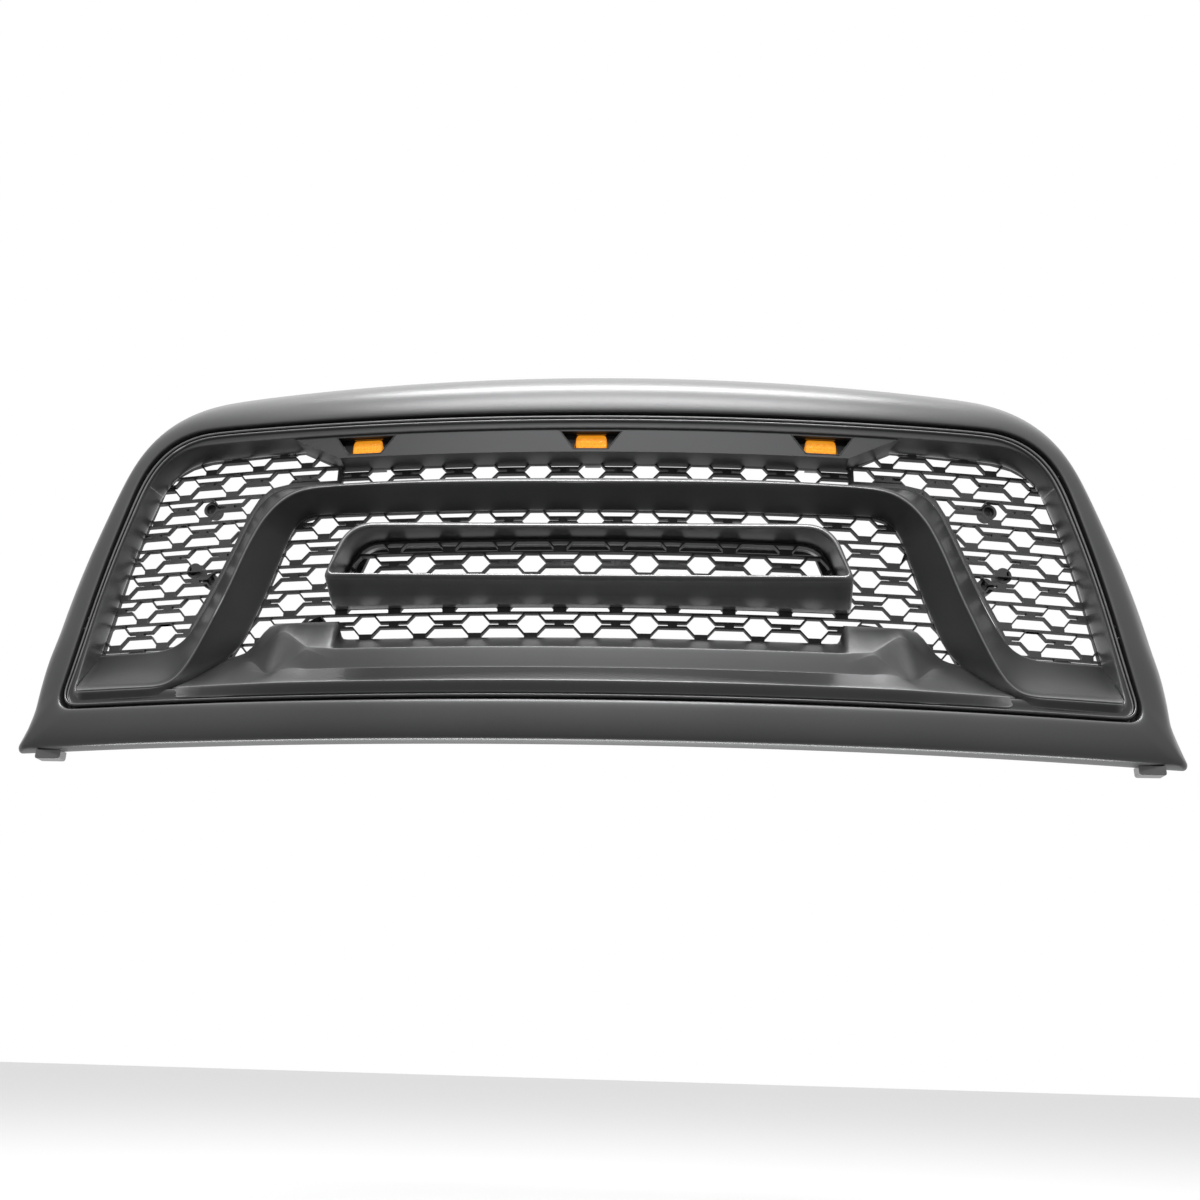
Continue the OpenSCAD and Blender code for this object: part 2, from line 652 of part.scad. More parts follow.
module lamp_housing_left() lamp_housing(lamp_x[0]);
module lamp_housing_centre() lamp_housing(lamp_x[1]);
module lamp_housing_right() lamp_housing(lamp_x[2]);
module lamp_lens_left() lamp_lens(lamp_x[0]);
module lamp_lens_centre() lamp_lens(lamp_x[1]);
module lamp_lens_right() lamp_lens(lamp_x[2]);
module lamp_board_left() lamp_board(lamp_x[0]);
module lamp_board_centre() lamp_board(lamp_x[1]);
module lamp_board_right() lamp_board(lamp_x[2]);
module lamp_cover_left() lamp_cover(lamp_x[0]);
module lamp_cover_centre() lamp_cover(lamp_x[1]);
module lamp_cover_right() lamp_cover(lamp_x[2]);

// ---- fasteners ----

module lamp_screws() color("silver") for (x = lamp_x, m = [-1, 1])
    facing(x) translate([m * lamp_screw, 0, lamp_mid]) {
        along_y(0.9, housing_back - 5, housing_back + 2);
        along_y(1.9, housing_back + 2, housing_back + 3.4);
    }
module shell_screws() color("silver") for (p = shell_screw_at) facing(p[0], p[1]) screw(12, 14);
module arch_screws() color("silver") for (p = arch_screw_at) facing(p[0], p[1]) screw(mesh_depth, 12);
module bar_screws() color("silver") for (x = bar_screw_x) facing(x, bar_screw_z) screw(bar_rear, 14);
module frame_screws() color("silver") for (p = frame_screw_at) facing(p[0], p[1]) {
    along_y(1.5, mesh_depth - 12, mesh_depth + strand_depth);
    along_y(3, mesh_depth + strand_depth, mesh_depth + strand_depth + 2);
}
module panel_screws() color("silver") for (x = panel_screw_x) facing(x, 140) screw(mesh_depth - 0.5, 12);

// Push-in retainers in the ring bosses of the wing meshes
module mesh_push_pins() color([0.08, 0.08, 0.08]) for (m = [-1, 1], p = boss_at)
    facing(m * p[0], p[1]) difference() {
        union() {
            along_y(5.7, mesh_depth + strand_depth, mesh_depth + 16);
            along_y(8.5, mesh_depth + 16, mesh_depth + 18);
        }
        along_y(3.2, mesh_depth + 4, mesh_depth + 19);
    }

// Flanged steel sleeve that takes a bolt's clamp load in a plastic tab; its top is z = 0
module sleeve(bore_r) difference() {
    union() {
        translate([0, 0, -tab_thick]) cylinder(r = bore_r + sleeve_wall, h = tab_thick);
        translate([0, 0, -tab_thick - 1]) cylinder(r = bore_r + sleeve_flange, h = 1);
    }
    translate([0, 0, -tab_thick - 2]) cylinder(r = bore_r, h = tab_thick + 3);
}
module top_sleeves() color("silver") for (x = tab_x)
    translate([x, bow(x) + tab_depth, tab_top]) sleeve(bolt_hole_r);
module side_sleeves() color("silver") for (m = [-1, 1], z = ear_z)
    translate([m * ear_hole_x(z), bow(wall_x(z)) + ear_depth, z]) rotate([90, 0, 0]) sleeve(ear_hole_r);

placed() outer_shell();
placed() insert_frame();
placed() lamp_panel();
placed() arch_bezel();
placed() lower_bar();
placed() centre_frame();
placed() mesh_wing_left();
placed() mesh_wing_right();
placed() mesh_top_strip();
placed() mesh_centre();
placed() mesh_infill();
placed() lamp_housing_left();
placed() lamp_housing_centre();
placed() lamp_housing_right();
placed() lamp_lens_left();
placed() lamp_lens_centre();
placed() lamp_lens_right();
placed() lamp_board_left();
placed() lamp_board_centre();
placed() lamp_board_right();
placed() lamp_cover_left();
placed() lamp_cover_centre();
placed() lamp_cover_right();
placed() lamp_screws();
placed() shell_screws();
placed() arch_screws();
placed() bar_screws();
placed() frame_screws();
placed() panel_screws();
placed() mesh_push_pins();
placed() top_sleeves();
placed() side_sleeves();
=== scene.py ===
"""Front grille of a full-size pickup: the looks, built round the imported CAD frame.

Shapes are drawn in millimetres in the grille's datum frame: x across, depth behind the bowed
datum surface, and z up from the datum line. on_bow() and on_flat() turn them into the row's frame.
"""

import math

import bmesh
import bpy
from mathutils import Matrix, Vector


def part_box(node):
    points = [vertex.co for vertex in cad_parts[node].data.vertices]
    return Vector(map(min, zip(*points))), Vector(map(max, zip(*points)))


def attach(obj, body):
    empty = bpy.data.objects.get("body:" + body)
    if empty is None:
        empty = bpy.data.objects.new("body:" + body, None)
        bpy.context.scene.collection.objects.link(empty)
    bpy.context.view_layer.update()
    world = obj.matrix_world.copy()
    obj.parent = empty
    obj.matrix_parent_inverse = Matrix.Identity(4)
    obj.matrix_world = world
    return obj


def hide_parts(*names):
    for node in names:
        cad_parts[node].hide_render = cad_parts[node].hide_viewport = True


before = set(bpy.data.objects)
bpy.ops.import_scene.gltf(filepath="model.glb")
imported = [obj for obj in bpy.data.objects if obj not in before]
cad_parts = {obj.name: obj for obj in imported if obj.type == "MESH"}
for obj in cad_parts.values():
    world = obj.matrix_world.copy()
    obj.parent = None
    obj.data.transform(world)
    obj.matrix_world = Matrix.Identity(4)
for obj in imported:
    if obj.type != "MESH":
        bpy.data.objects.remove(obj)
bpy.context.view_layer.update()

MM = 0.001
# Points of a CAD mesh nearer than this are one point
MERGE = 0.002 * MM
BOW_RADIUS = 2435
RIM_RISE = 246
TAB_DEPTH = 108
SLEEVE_FLANGE = 8

# The datum frame's place in the row, from the shell's top rim and the middle sleeve
DATUM_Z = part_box("outer_shell")[1][2] / MM - RIM_RISE
DATUM_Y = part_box("top_sleeves")[0][1] / MM + SLEEVE_FLANGE - TAB_DEPTH


# ---- places on the bow ----

def bow(x):
    return BOW_RADIUS - math.sqrt(BOW_RADIUS * BOW_RADIUS - x * x)


def on_flat(x, depth, z):
    return Vector((x, depth + DATUM_Y, z + DATUM_Z)) * MM


def on_bow(x, depth, z):
    return on_flat(x, bow(x) + depth, z)


def square_to_bow(x, across, depth, z):
    """A point on the plane that touches the bow at x: across along the plane, depth behind it."""
    turn = math.asin(x / BOW_RADIUS)
    return on_flat(x + across * math.cos(turn) - depth * math.sin(turn),
                   bow(x) + across * math.sin(turn) + depth * math.cos(turn), z)


def mix(a, b, t):
    return tuple(p + (q - p) * t for p, q in zip(a, b))


def unit2(a, b):
    """The direction from a to b."""
    d = math.dist(a[:2], b[:2])
    return ((b[0] - a[0]) / d, (b[1] - a[1]) / d)


def ease(t):
    t = max(0.0, min(1.0, t))
    return t * t * (3 - 2 * t)


def mirrored(half):
    """Corners of the right half, then the same corners on the left."""
    return list(half) + [(-c[0],) + tuple(c[1:]) for c in reversed(half)]


def rounded(corners, splits, arc_steps=6):
    """A closed outline from corners (x, z, trim, depth): each corner is blended over its trim
    length, and the run after it is split into the number of pieces that splits gives."""
    points = []
    for i, q in enumerate(corners):
        p = corners[i - 1]
        s = corners[(i + 1) % len(corners)]
        back, ahead = unit2(q, p), unit2(q, s)
        a = (q[0] + back[0] * q[2], q[1] + back[1] * q[2])
        b = (q[0] + ahead[0] * q[2], q[1] + ahead[1] * q[2])
        e = (s[0] - ahead[0] * s[2], s[1] - ahead[1] * s[2])
        for k in range(arc_steps + 1):
            t = k / arc_steps
            x, z = (u * (1 - t) ** 2 + v * 2 * t * (1 - t) + w * t * t for u, v, w in zip(a, q, b))
            points.append((x, z, q[3]))
        for k in range(1, splits[i]):
            t = k / splits[i]
            x, z = mix(b, e, t)
            points.append((x, z, q[3] + (s[3] - q[3]) * t))
    return points


# ---- mesh making ----

def loft(bm, rings, closed=True, join=False, cap=False):
    """Draws the first ring and sweeps it through the others, one extrusion to each."""
    place = bm.verts.layers.int.get("place") or bm.verts.layers.int.new("place")
    verts = [bm.verts.new(p) for p in rings[0]]
    for k, v in enumerate(verts):
        v[place] = k
    pairs = list(zip(verts, verts[1:]))
    if closed:
        pairs.append((verts[-1], verts[0]))
    first = edges = [bm.edges.new(pair) for pair in pairs]
    made = set(verts)
    for ring in rings[1:] + (rings[:1] if join else []):
        geom = bmesh.ops.extrude_edge_only(bm, edges=edges)["geom"]
        fresh = {g for g in geom if isinstance(g, bmesh.types.BMVert)} - made
        edges = [g for g in geom if isinstance(g, bmesh.types.BMEdge) and set(g.verts) <= fresh]
        for v in fresh:
            v.co = ring[v[place]]
        made |= fresh
    if cap:
        bmesh.ops.contextual_create(bm, geom=first)
        bmesh.ops.contextual_create(bm, geom=edges)
    if join:
        bmesh.ops.remove_doubles(bm, verts=list(made), dist=0.01 * MM)


def fold_lines(bm, folds):
    """Marks lines along a loft to be rounded as edges; folds is {place: weight}."""
    place = bm.verts.layers.int["place"]
    weights = bm.edges.layers.float
    weight = weights.get("bevel_weight_edge") or weights.new("bevel_weight_edge")
    for e in bm.edges:
        a, b = (v[place] for v in e.verts)
        if a == b and a in folds and len(e.link_faces) == 2:
            e[weight] = folds[a]


def folded(obj, width, levels=1):
    """Rounds an object's marked lines and then smooths the surfaces between them."""
    edge = obj.modifiers.new("folds", "BEVEL")
    edge.width = width * MM
    edge.segments = 3
    edge.limit_method = "WEIGHT"
    smoothed(obj, levels)


def piece(name, bm, material, nodes, sharp=35, recalc=True):
    """Finishes a bmesh as an object that stands for its CAD nodes."""
    if recalc:
        bmesh.ops.recalc_face_normals(bm, faces=bm.faces[:])
    mesh = bpy.data.meshes.new(name)
    bm.to_mesh(mesh)
    bm.free()
    for polygon in mesh.polygons:
        polygon.use_smooth = True
    mesh.set_sharp_from_angle(angle=math.radians(sharp))
    mesh.materials.append(material)
    obj = bpy.data.objects.new(name, mesh)
    bpy.context.scene.collection.objects.link(obj)
    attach(obj, "root")
    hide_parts(*nodes)
    return obj


def smoothed(obj, levels=2):
    surface = obj.modifiers.new("surface", "SUBSURF")
    surface.levels = levels
    surface.render_levels = levels


def eased_edges(obj, width, angle=25, segments=3):
    edge = obj.modifiers.new("edges", "BEVEL")
    edge.width = width * MM
    edge.segments = segments
    edge.limit_method = "ANGLE"
    edge.angle_limit = math.radians(angle)


def softened_copy(node, material, width, segments=2, sharp=35):
    """A copy of a CAD node with its edges eased."""
    bm = bmesh.new()
    bm.from_mesh(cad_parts[node].data)
    bmesh.ops.remove_doubles(bm, verts=bm.verts[:], dist=MERGE)
    bmesh.ops.dissolve_limit(bm, angle_limit=math.radians(0.2), verts=bm.verts[:], edges=bm.edges[:])
    obj = piece(node + "_body", bm, material, [node], sharp, recalc=False)
    eased_edges(obj, width, segments=segments)
    return obj


def islands(node):
    """(x, z, rear, turn) of each separate solid of a CAD node: the middle it is centred on, how far
    back it reaches, square to the bow, and the bow's turn there."""
    bm = bmesh.new()
    bm.from_mesh(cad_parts[node].data)
    bmesh.ops.remove_doubles(bm, verts=bm.verts[:], dist=MERGE)
    found = []
    left = set(bm.verts)
    while left:
        group, edge = set(), {left.pop()}
        while edge:
            v = edge.pop()
            group.add(v)
            for e in v.link_edges:
                w = e.other_vert(v)
                if w in left:
                    left.discard(w)
                    edge.add(w)
        lows = [min(v.co[k] for v in group) for k in range(3)]
        highs = [max(v.co[k] for v in group) for k in range(3)]
        x, z = ((lows[k] + highs[k]) / 2 for k in (0, 2))
        turn = math.asin(x / MM / BOW_RADIUS)
        rear = max(v.co.y * math.cos(turn) - v.co.x * math.sin(turn) for v in group)
        found.append((x, z, rear, turn))
    bm.free()
    return sorted(found)


# ---- finishes ----

def node_group(name, inputs, outputs):
    """A shader node group with its input and output nodes; inputs are (name, value)."""
    group = bpy.data.node_groups.new(name, "ShaderNodeTree")
    for label, value in inputs:
        socket = group.interface.new_socket(label, in_out="INPUT", socket_type="NodeSocketFloat")
        socket.default_value = value
    for label in outputs:
        group.interface.new_socket(label, in_out="OUTPUT", socket_type="NodeSocketFloat")
    return group, group.nodes.new("NodeGroupInput"), group.nodes.new("NodeGroupOutput")


def math_node(tree, kind, a, b):
    node = tree.nodes.new("ShaderNodeMath")
    node.operation = kind
    for socket, value in zip(node.inputs, (a, b)):
        if isinstance(value, bpy.types.NodeSocket):
            tree.links.new(value, socket)
        else:
            socket.default_value = value
    return node.outputs[0]


def noise_node(tree, coords, scale, detail, stretch=None):
    if stretch:
        mapping = tree.nodes.new("ShaderNodeMapping")
        mapping.inputs["Scale"].default_value = stretch
        tree.links.new(coords, mapping.inputs["Vector"])
        coords = mapping.outputs[0]
    noise = tree.nodes.new("ShaderNodeTexNoise")
    noise.inputs["Detail"].default_value = detail
    tree.links.new(coords, noise.inputs["Vector"])
    if isinstance(scale, bpy.types.NodeSocket):
        tree.links.new(scale, noise.inputs["Scale"])
    else:
        noise.inputs["Scale"].default_value = scale
    return noise.outputs["Fac"]


def build_edge_wear_and_highlight():
    """Edge: how much of the finish is painted bright along convex edges as a painted highlight, with a
    little edge wear, broken up by noise.
    """
    group, given, out = node_group("edge_wear_and_highlight", [("Reach", 0.06), ("Scale", 180)], ["Edge"])
    coords = group.nodes.new("ShaderNodeTexCoord").outputs["Object"]
    geometry = group.nodes.new("ShaderNodeNewGeometry")
    noise = noise_node(group, coords, given.outputs["Scale"], 3)
    broken = math_node(group, "MULTIPLY_ADD", noise, 0.35)
    broken.node.inputs[2].default_value = 0.35
    # Convex edges, where pointiness is above 0.5, are painted bright: a painted highlight along the edges,
    # with a little edge wear
    raised = math_node(group, "SUBTRACT", geometry.outputs["Pointiness"], 0.5)
    scaled = math_node(group, "DIVIDE", raised, given.outputs["Reach"])
    held = math_node(group, "MULTIPLY", scaled, broken)
    clean = group.nodes.new("ShaderNodeClamp")
    group.links.new(held, clean.inputs["Value"])
    group.links.new(clean.outputs[0], out.inputs["Edge"])
    return group


def build_spray_coat():
    """Sprayed paint: slow drift of tone and gloss, metal flake, and the orange peel's height."""
    group, given, out = node_group(
        "spray_coat", [("Flake Scale", 2600), ("Peel Scale", 420), ("Drift Scale", 5)],
        ["Tone", "Gloss", "Height"])
    coords = group.nodes.new("ShaderNodeTexCoord").outputs["Object"]
    drift = noise_node(group, coords, given.outputs["Drift Scale"], 4)
    flake = noise_node(group, coords, given.outputs["Flake Scale"], 1)
    peel = noise_node(group, coords, given.outputs["Peel Scale"], 2)
    tone = math_node(group, "MULTIPLY_ADD", flake, 0.45)
    group.links.new(drift, tone.node.inputs[2])
    group.links.new(math_node(group, "SUBTRACT", tone, 0.22), out.inputs["Tone"])
    gloss = math_node(group, "MULTIPLY_ADD", peel, 0.4)
    group.links.new(drift, gloss.node.inputs[2])
    group.links.new(math_node(group, "SUBTRACT", gloss, 0.2), out.inputs["Gloss"])
    height = math_node(group, "MULTIPLY_ADD", flake, 0.12)
    group.links.new(peel, height.node.inputs[2])
    group.links.new(height, out.inputs["Height"])
    return group


def build_mould_grain():
    """Moulded plastic: spark-eroded grain, flow streaks and a little settled dust."""
    group, given, out = node_group(
        "mould_grain", [("Grain Scale", 1500), ("Flow Scale", 14)], ["Tone", "Gloss", "Height"])
    coords = group.nodes.new("ShaderNodeTexCoord").outputs["Object"]
    grain = noise_node(group, coords, given.outputs["Grain Scale"], 2)
    flow = noise_node(group, coords, given.outputs["Flow Scale"], 3, stretch=(1, 1, 4))
    cells = group.nodes.new("ShaderNodeTexVoronoi")
    group.links.new(coords, cells.inputs["Vector"])
    group.links.new(given.outputs["Grain Scale"], cells.inputs["Scale"])
    height = math_node(group, "MULTIPLY_ADD", cells.outputs["Distance"], 0.6)
    group.links.new(grain, height.node.inputs[2])
    group.links.new(height, out.inputs["Height"])
    tone = math_node(group, "MULTIPLY_ADD", grain, 0.35)
    group.links.new(flow, tone.node.inputs[2])
    group.links.new(math_node(group, "SUBTRACT", tone, 0.17), out.inputs["Tone"])
    group.links.new(flow, out.inputs["Gloss"])
    return group


EDGE_WEAR_AND_HIGHLIGHT = build_edge_wear_and_highlight()
SPRAY_COAT = build_spray_coat()
MOULD_GRAIN = build_mould_grain()


def group_node(tree, group, **values):
    node = tree.nodes.new("ShaderNodeGroup")
    node.node_tree = group
    for label, value in values.items():
        node.inputs[label.replace("_", " ")].default_value = value
    return node


def ramp_colour(tree, factor, dark, light):
    mixer = tree.nodes.new("ShaderNodeMix")
    mixer.data_type = "RGBA"
    tree.links.new(factor, mixer.inputs["Factor"])
    mixer.inputs["A"].default_value = (*dark, 1)
    mixer.inputs["B"].default_value = (*light, 1)
    return mixer.outputs["Result"]


def finish(name, surface, dark, light, rough, edge_colour, bump, metallic=0, coat=0, coat_rough=0.2,
           edge_reach=0.035, edge_share=0.5, **values):
    """A Principled material driven by one of the surface groups and the painted edge highlight with its
    edge wear.
    """
    material = bpy.data.materials.new(name)
    material.use_nodes = True
    tree = material.node_tree
    shader = tree.nodes["Principled BSDF"]
    skin = group_node(tree, surface, **values)
    edge = group_node(tree, EDGE_WEAR_AND_HIGHLIGHT, Reach=edge_reach)
    body = ramp_colour(tree, skin.outputs["Tone"], dark, light)
    # Painted highlight: the edge colour is mixed over the body colour along convex edges, with a little
    # edge wear
    rubbed_and_highlit = tree.nodes.new("ShaderNodeMix")
    rubbed_and_highlit.data_type = "RGBA"
    share = math_node(tree, "MULTIPLY", edge.outputs["Edge"], edge_share)
    tree.links.new(share, rubbed_and_highlit.inputs["Factor"])
    tree.links.new(body, rubbed_and_highlit.inputs["A"])
    rubbed_and_highlit.inputs["B"].default_value = (*edge_colour, 1)
    tree.links.new(rubbed_and_highlit.outputs["Result"], shader.inputs["Base Color"])
    spread = tree.nodes.new("ShaderNodeMapRange")
    tree.links.new(skin.outputs["Gloss"], spread.inputs["Value"])
    spread.inputs["From Min"].default_value = 0.2
    spread.inputs["From Max"].default_value = 0.8
    spread.inputs["To Min"].default_value = rough[0]
    spread.inputs["To Max"].default_value = rough[1]
    tree.links.new(spread.outputs["Result"], shader.inputs["Roughness"])
    relief = tree.nodes.new("ShaderNodeBump")
    relief.inputs["Strength"].default_value = bump[0]
    relief.inputs["Distance"].default_value = bump[1] * MM
    tree.links.new(skin.outputs["Height"], relief.inputs["Height"])
    tree.links.new(relief.outputs["Normal"], shader.inputs["Normal"])
    shader.inputs["Metallic"].default_value = metallic
    shader.inputs["Coat Weight"].default_value = coat
    shader.inputs["Coat Roughness"].default_value = coat_rough
    return material


# Each finish's edge colour and share paint a highlight along convex edges, with a little edge wear; the
# trim's near-white edges are the strongest painted highlight
GUNMETAL = finish("gunmetal_paint", SPRAY_COAT, (0.140, 0.141, 0.143), (0.182, 0.183, 0.185),
                  (0.33, 0.42), (0.55, 0.55, 0.55), (0.25, 0.03), metallic=0.6, coat=0.25,
                  coat_rough=0.25, edge_share=0.4)
TRIM_PAINT = finish("trim_paint", SPRAY_COAT, (0.112, 0.113, 0.115), (0.148, 0.149, 0.151),
                    (0.34, 0.44), (0.85, 0.85, 0.85), (0.3, 0.03), metallic=0.6, coat=0.2,
                    coat_rough=0.28, edge_reach=0.03, edge_share=0.9)
PANEL_PAINT = finish("panel_paint", SPRAY_COAT, (0.085, 0.086, 0.088), (0.110, 0.111, 0.113),
                     (0.38, 0.48), (0.15, 0.15, 0.15), (0.3, 0.03), metallic=0.6, edge_share=0)
MESH_BLACK = finish("mesh_black", MOULD_GRAIN, (0.018, 0.018, 0.019), (0.036, 0.036, 0.038),
                    (0.42, 0.6), (0.14, 0.14, 0.145), (0.35, 0.05), edge_share=0.6)
GLOSS_BLACK = finish("lamp_gloss_black", MOULD_GRAIN, (0.004, 0.004, 0.005), (0.012, 0.012, 0.013),
                     (0.12, 0.25), (0.10, 0.10, 0.10), (0.08, 0.02), coat=0.4, coat_rough=0.1,
                     edge_share=0.4)
BOARD_GREEN = finish("board_green", MOULD_GRAIN, (0.01, 0.10, 0.035), (0.02, 0.16, 0.05), (0.3, 0.45),
                     (0.2, 0.3, 0.2), (0.2, 0.03), Grain_Scale=700)
STEEL = finish("zinc_steel", SPRAY_COAT, (0.42, 0.42, 0.40), (0.62, 0.62, 0.60), (0.22, 0.42),
               (0.8, 0.8, 0.78), (0.3, 0.03), metallic=1, edge_share=0.6, Flake_Scale=1400,
               Drift_Scale=60)


def amber_lens_painted_glow():
    """Moulded amber lens with a painted glow: prisms show as blocks of lighter and deeper orange."""
    material = finish("amber_lens_painted_glow", MOULD_GRAIN, (0.75, 0.2, 0.002), (1.0, 0.36, 0.008), (0.08, 0.2),
                      (1.0, 0.55, 0.08), (0.15, 0.05), coat=0.6, coat_rough=0.06, edge_share=0.35,
                      Grain_Scale=260, Flow_Scale=120)
    tree = material.node_tree
    shader = tree.nodes["Principled BSDF"]
    colour = shader.inputs["Base Color"].links[0].from_socket
    # Painted glow: the lens's own colour also drives its emission, so the lens glows though no lamp lights
    # it
    tree.links.new(colour, shader.inputs["Emission Color"])
    shader.inputs["Emission Strength"].default_value = 0.75
    shader.inputs["Subsurface Weight"].default_value = 0.15
    shader.inputs["Subsurface Radius"].default_value = (0.004, 0.002, 0.0005)
    return material


AMBER_PAINTED_GLOW = amber_lens_painted_glow()


# ---- outer shell ----

GAP = 3
SHELL_SPLITS = [2, 2, 2, 11, 2, 2, 2, 11]
# The top run drops by the ring's crown at CROWN_X, and the drop fades out over CROWN_FADE below
CROWN_X = 436
CROWN_FOOT, CROWN_FADE = 40, 120


def crowned(point, crown):
    """Lowers the top run towards its ends, and leaves the lower half as it is."""
    x, z, depth = point
    return (x, z - crown * (x / CROWN_X) ** 2 * ease((z - CROWN_FOOT) / CROWN_FADE), depth)


def hoop(corners, crown=0):
    """One ring round the grille from the corners of its right half."""
    return [on_bow(x, depth, z) for x, z, depth in
            (crowned(p, crown) for p in rounded(mirrored(corners), SHELL_SPLITS))]


# Rings of the shell from the rear of its opening, over the face to the rear rim and back inside:
# (x, z, trim, depth) of the bottom, hip, side and top corners, and the ring's crown
SHELL_PROFILE = [
    ((585, -160, 24, 4), (574.8, -100, 30, 4), (558, 0, 60, 4), (513.5, 170, 75, 4), 0),
    ((585, -160, 24, -18.5), (574.8, -100, 30, -18.5),
     (558, 0, 60, -18.5), (513.5, 170, 75, -18.5), 0),
    ((585.4, -160.4, 24, -20.5), (575.2, -100, 30, -20.5),
     (558.4, 0, 60, -20.5), (514, 170.4, 75, -20.5), 0),
    ((587, -162, 23, -22.4), (576.8, -100, 30, -22.2),
     (559.8, 0, 60, -22), (515.5, 172, 76, -21.7), 0.3),
    ((602, -180, 16, -22), (593, -115, 30, -21),
     (575, -3, 50, -20.5), (523, 190, 82, -20.5), 3),
    ((612.5, -193, 12, -20), (607.5, -130, 30, -17),
     (586, -8, 50, -15), (527, 205, 92, -15), 6),
    ((618, -199, 10, -18), (615.5, -125, 30, -9), (596, -13, 50, -5), (530, 218, 100, -5), 8),
    ((622, -201, 8, -16), (623.5, -125, 30, 5), (605.5, -16, 50, 8), (532, 229.5, 106, 8), 10),
    ((626.5, -202, 8, -12), (630.5, -112, 30, 22),
     (612.5, -17, 50, 24), (534, 238, 110, 24), 11),
    ((630, -203, 8, -8), (633.5, -112, 30, 44), (615, -17, 50, 45), (538, 243.5, 114, 45), 9),
    ((631.5, -203.5, 8, -4), (635.6, -112, 30, 69), (617, -18, 50, 87), (543, 246, 116, 91), 2),
    ((631.6, -203.4, 8, -3), (635.8, -112, 30, 70.5),
     (617.2, -18, 50, 88.5), (543, 246.2, 116, 92.5), 2),
    ((629, -201.5, 8, -3), (633, -112, 30, 71), (615, -18, 50, 89), (541, 244, 116, 93), 2),
    ((623.5, -198, 8, -6), (629.5, -112, 30, 40), (611, -17, 50, 42), (534, 238.5, 111, 42), 9),
    ((617.5, -196.5, 9, -11.5), (619, -120, 30, 9),
     (601.5, -15, 50, 12), (528, 225.5, 104, 13), 9),
    ((608, -189, 12, -16), (602.5, -126, 30, -12),
     (581, -7, 50, -10), (523.5, 201, 90, -10), 6),
    ((588, -163, 24, -16), (577.8, -100, 30, -16), (561, 0, 60, -16), (517, 173, 76, -16), 0),
    ((588, -163, 24, 4), (577.8, -100, 30, 4), (561, 0, 60, 4), (517, 173, 76, 4), 0),
]


def outer_skin():
    bm = bmesh.new()
    loft(bm, [hoop(row[:4], row[4]) for row in SHELL_PROFILE], join=True)
    smoothed(piece("outer_skin", bm, GUNMETAL, ["outer_shell"], sharp=180))


def circle(x, z, radius, depth, steps=24):
    """A ring square to the bow at x."""
    angles = [2 * math.pi * k / steps for k in range(steps)]
    return [square_to_bow(x, radius * math.cos(a), depth, z + radius * math.sin(a)) for a in angles]


def pipe(bm, x, z, outer, inner, front, back):
    """A tube square to the bow."""
    loft(bm, [circle(x, z, r, d) for r, d in
              ((outer, front), (outer, back), (inner, back), (inner, front))], join=True)


def eyelet(bm, outline, centre, radius, place):
    """A flat tab with a round hole; place(u, v, side) puts its two faces."""
    around = []
    for u, v in outline:
        d = math.dist((u, v), centre)
        around.append((centre[0] + (u - centre[0]) * radius / d, centre[1] + (v - centre[1]) * radius / d))
    loft(bm, [[place(u, v, side) for u, v in ring] for ring, side in
              ((outline, 0), (outline, 1), (around, 1), (around, 0))], join=True)


def tab_outline(low_u, high_u, low_v, high_v, trim):
    corners = [(high_u, low_v, trim, 0), (high_u, high_v, trim, 0),
               (low_u, high_v, trim, 0), (low_u, low_v, trim, 0)]
    return [(u, v) for u, v, depth in rounded(corners, [5, 5, 5, 5])]


TAB_THICK = 3
TAB_X = (-430, -220, 0, 220, 430)
TAB_TOP = RIM_RISE - 1
TAB_HALF, TAB_FRONT, TAB_BACK, TAB_HOLE = 20, 85, 118, 6
# The rib under each side of a top tab: its place, and its corners as (depth, z)
RIB_X = 17
RIB = ((88, TAB_TOP - TAB_THICK + 0.5), (112, TAB_TOP - TAB_THICK + 0.5), (88, TAB_TOP - 11))
EAR_Z = (-95, 75)
EAR_DEPTH = 56
# The ear's hole in from the wall, its inner edge in from the hole, half its height, its hole
EAR_INSET, EAR_LIP, EAR_HALF, EAR_HOLE = 19, 10, 14, 5.5
# The locating tab under each lower corner
FOOT_X, FOOT_HALF, FOOT_LOW, FOOT_HIGH = 588, 14, -212, -202
FOOT_DEPTHS = (-12, 3)
SCREW_AT = [(m * x, z) for m in (-1, 1) for x, z in
            [(574, -60), (562, 40), (530, 128)] + [(x, 183) for x in (60, 190, 320, 440)]
            + [(x, -172) for x in (90, 270, 450)]]
# A screw boss as (outer radius, inner radius, front, back), and a fin on it as (reach, depth)
BOSS = (5.5, 2, -12, 9)
FIN = ((4.5, 6), (4.5, -14), (11, -14))
WAIST_Z = -18


def wall_x(z):
    """How far out the shell's side wall is where an ear joins it."""
    if z < WAIST_Z:
        return 611 - (z - WAIST_Z) * 0.235
    return 613 - (z - WAIST_Z) * 0.27


def top_tab(bm, x):
    eyelet(bm, tab_outline(x - TAB_HALF, x + TAB_HALF, TAB_FRONT, TAB_BACK, 4), (x, TAB_DEPTH), TAB_HOLE,
           lambda u, v, side: on_flat(u, bow(x) + v, TAB_TOP - TAB_THICK * side))
    for m in (-1, 1):
        loft(bm, [[on_flat(x + m * RIB_X + t, bow(x) + v, w) for v, w in RIB] for t in (-1, 1)], cap=True)


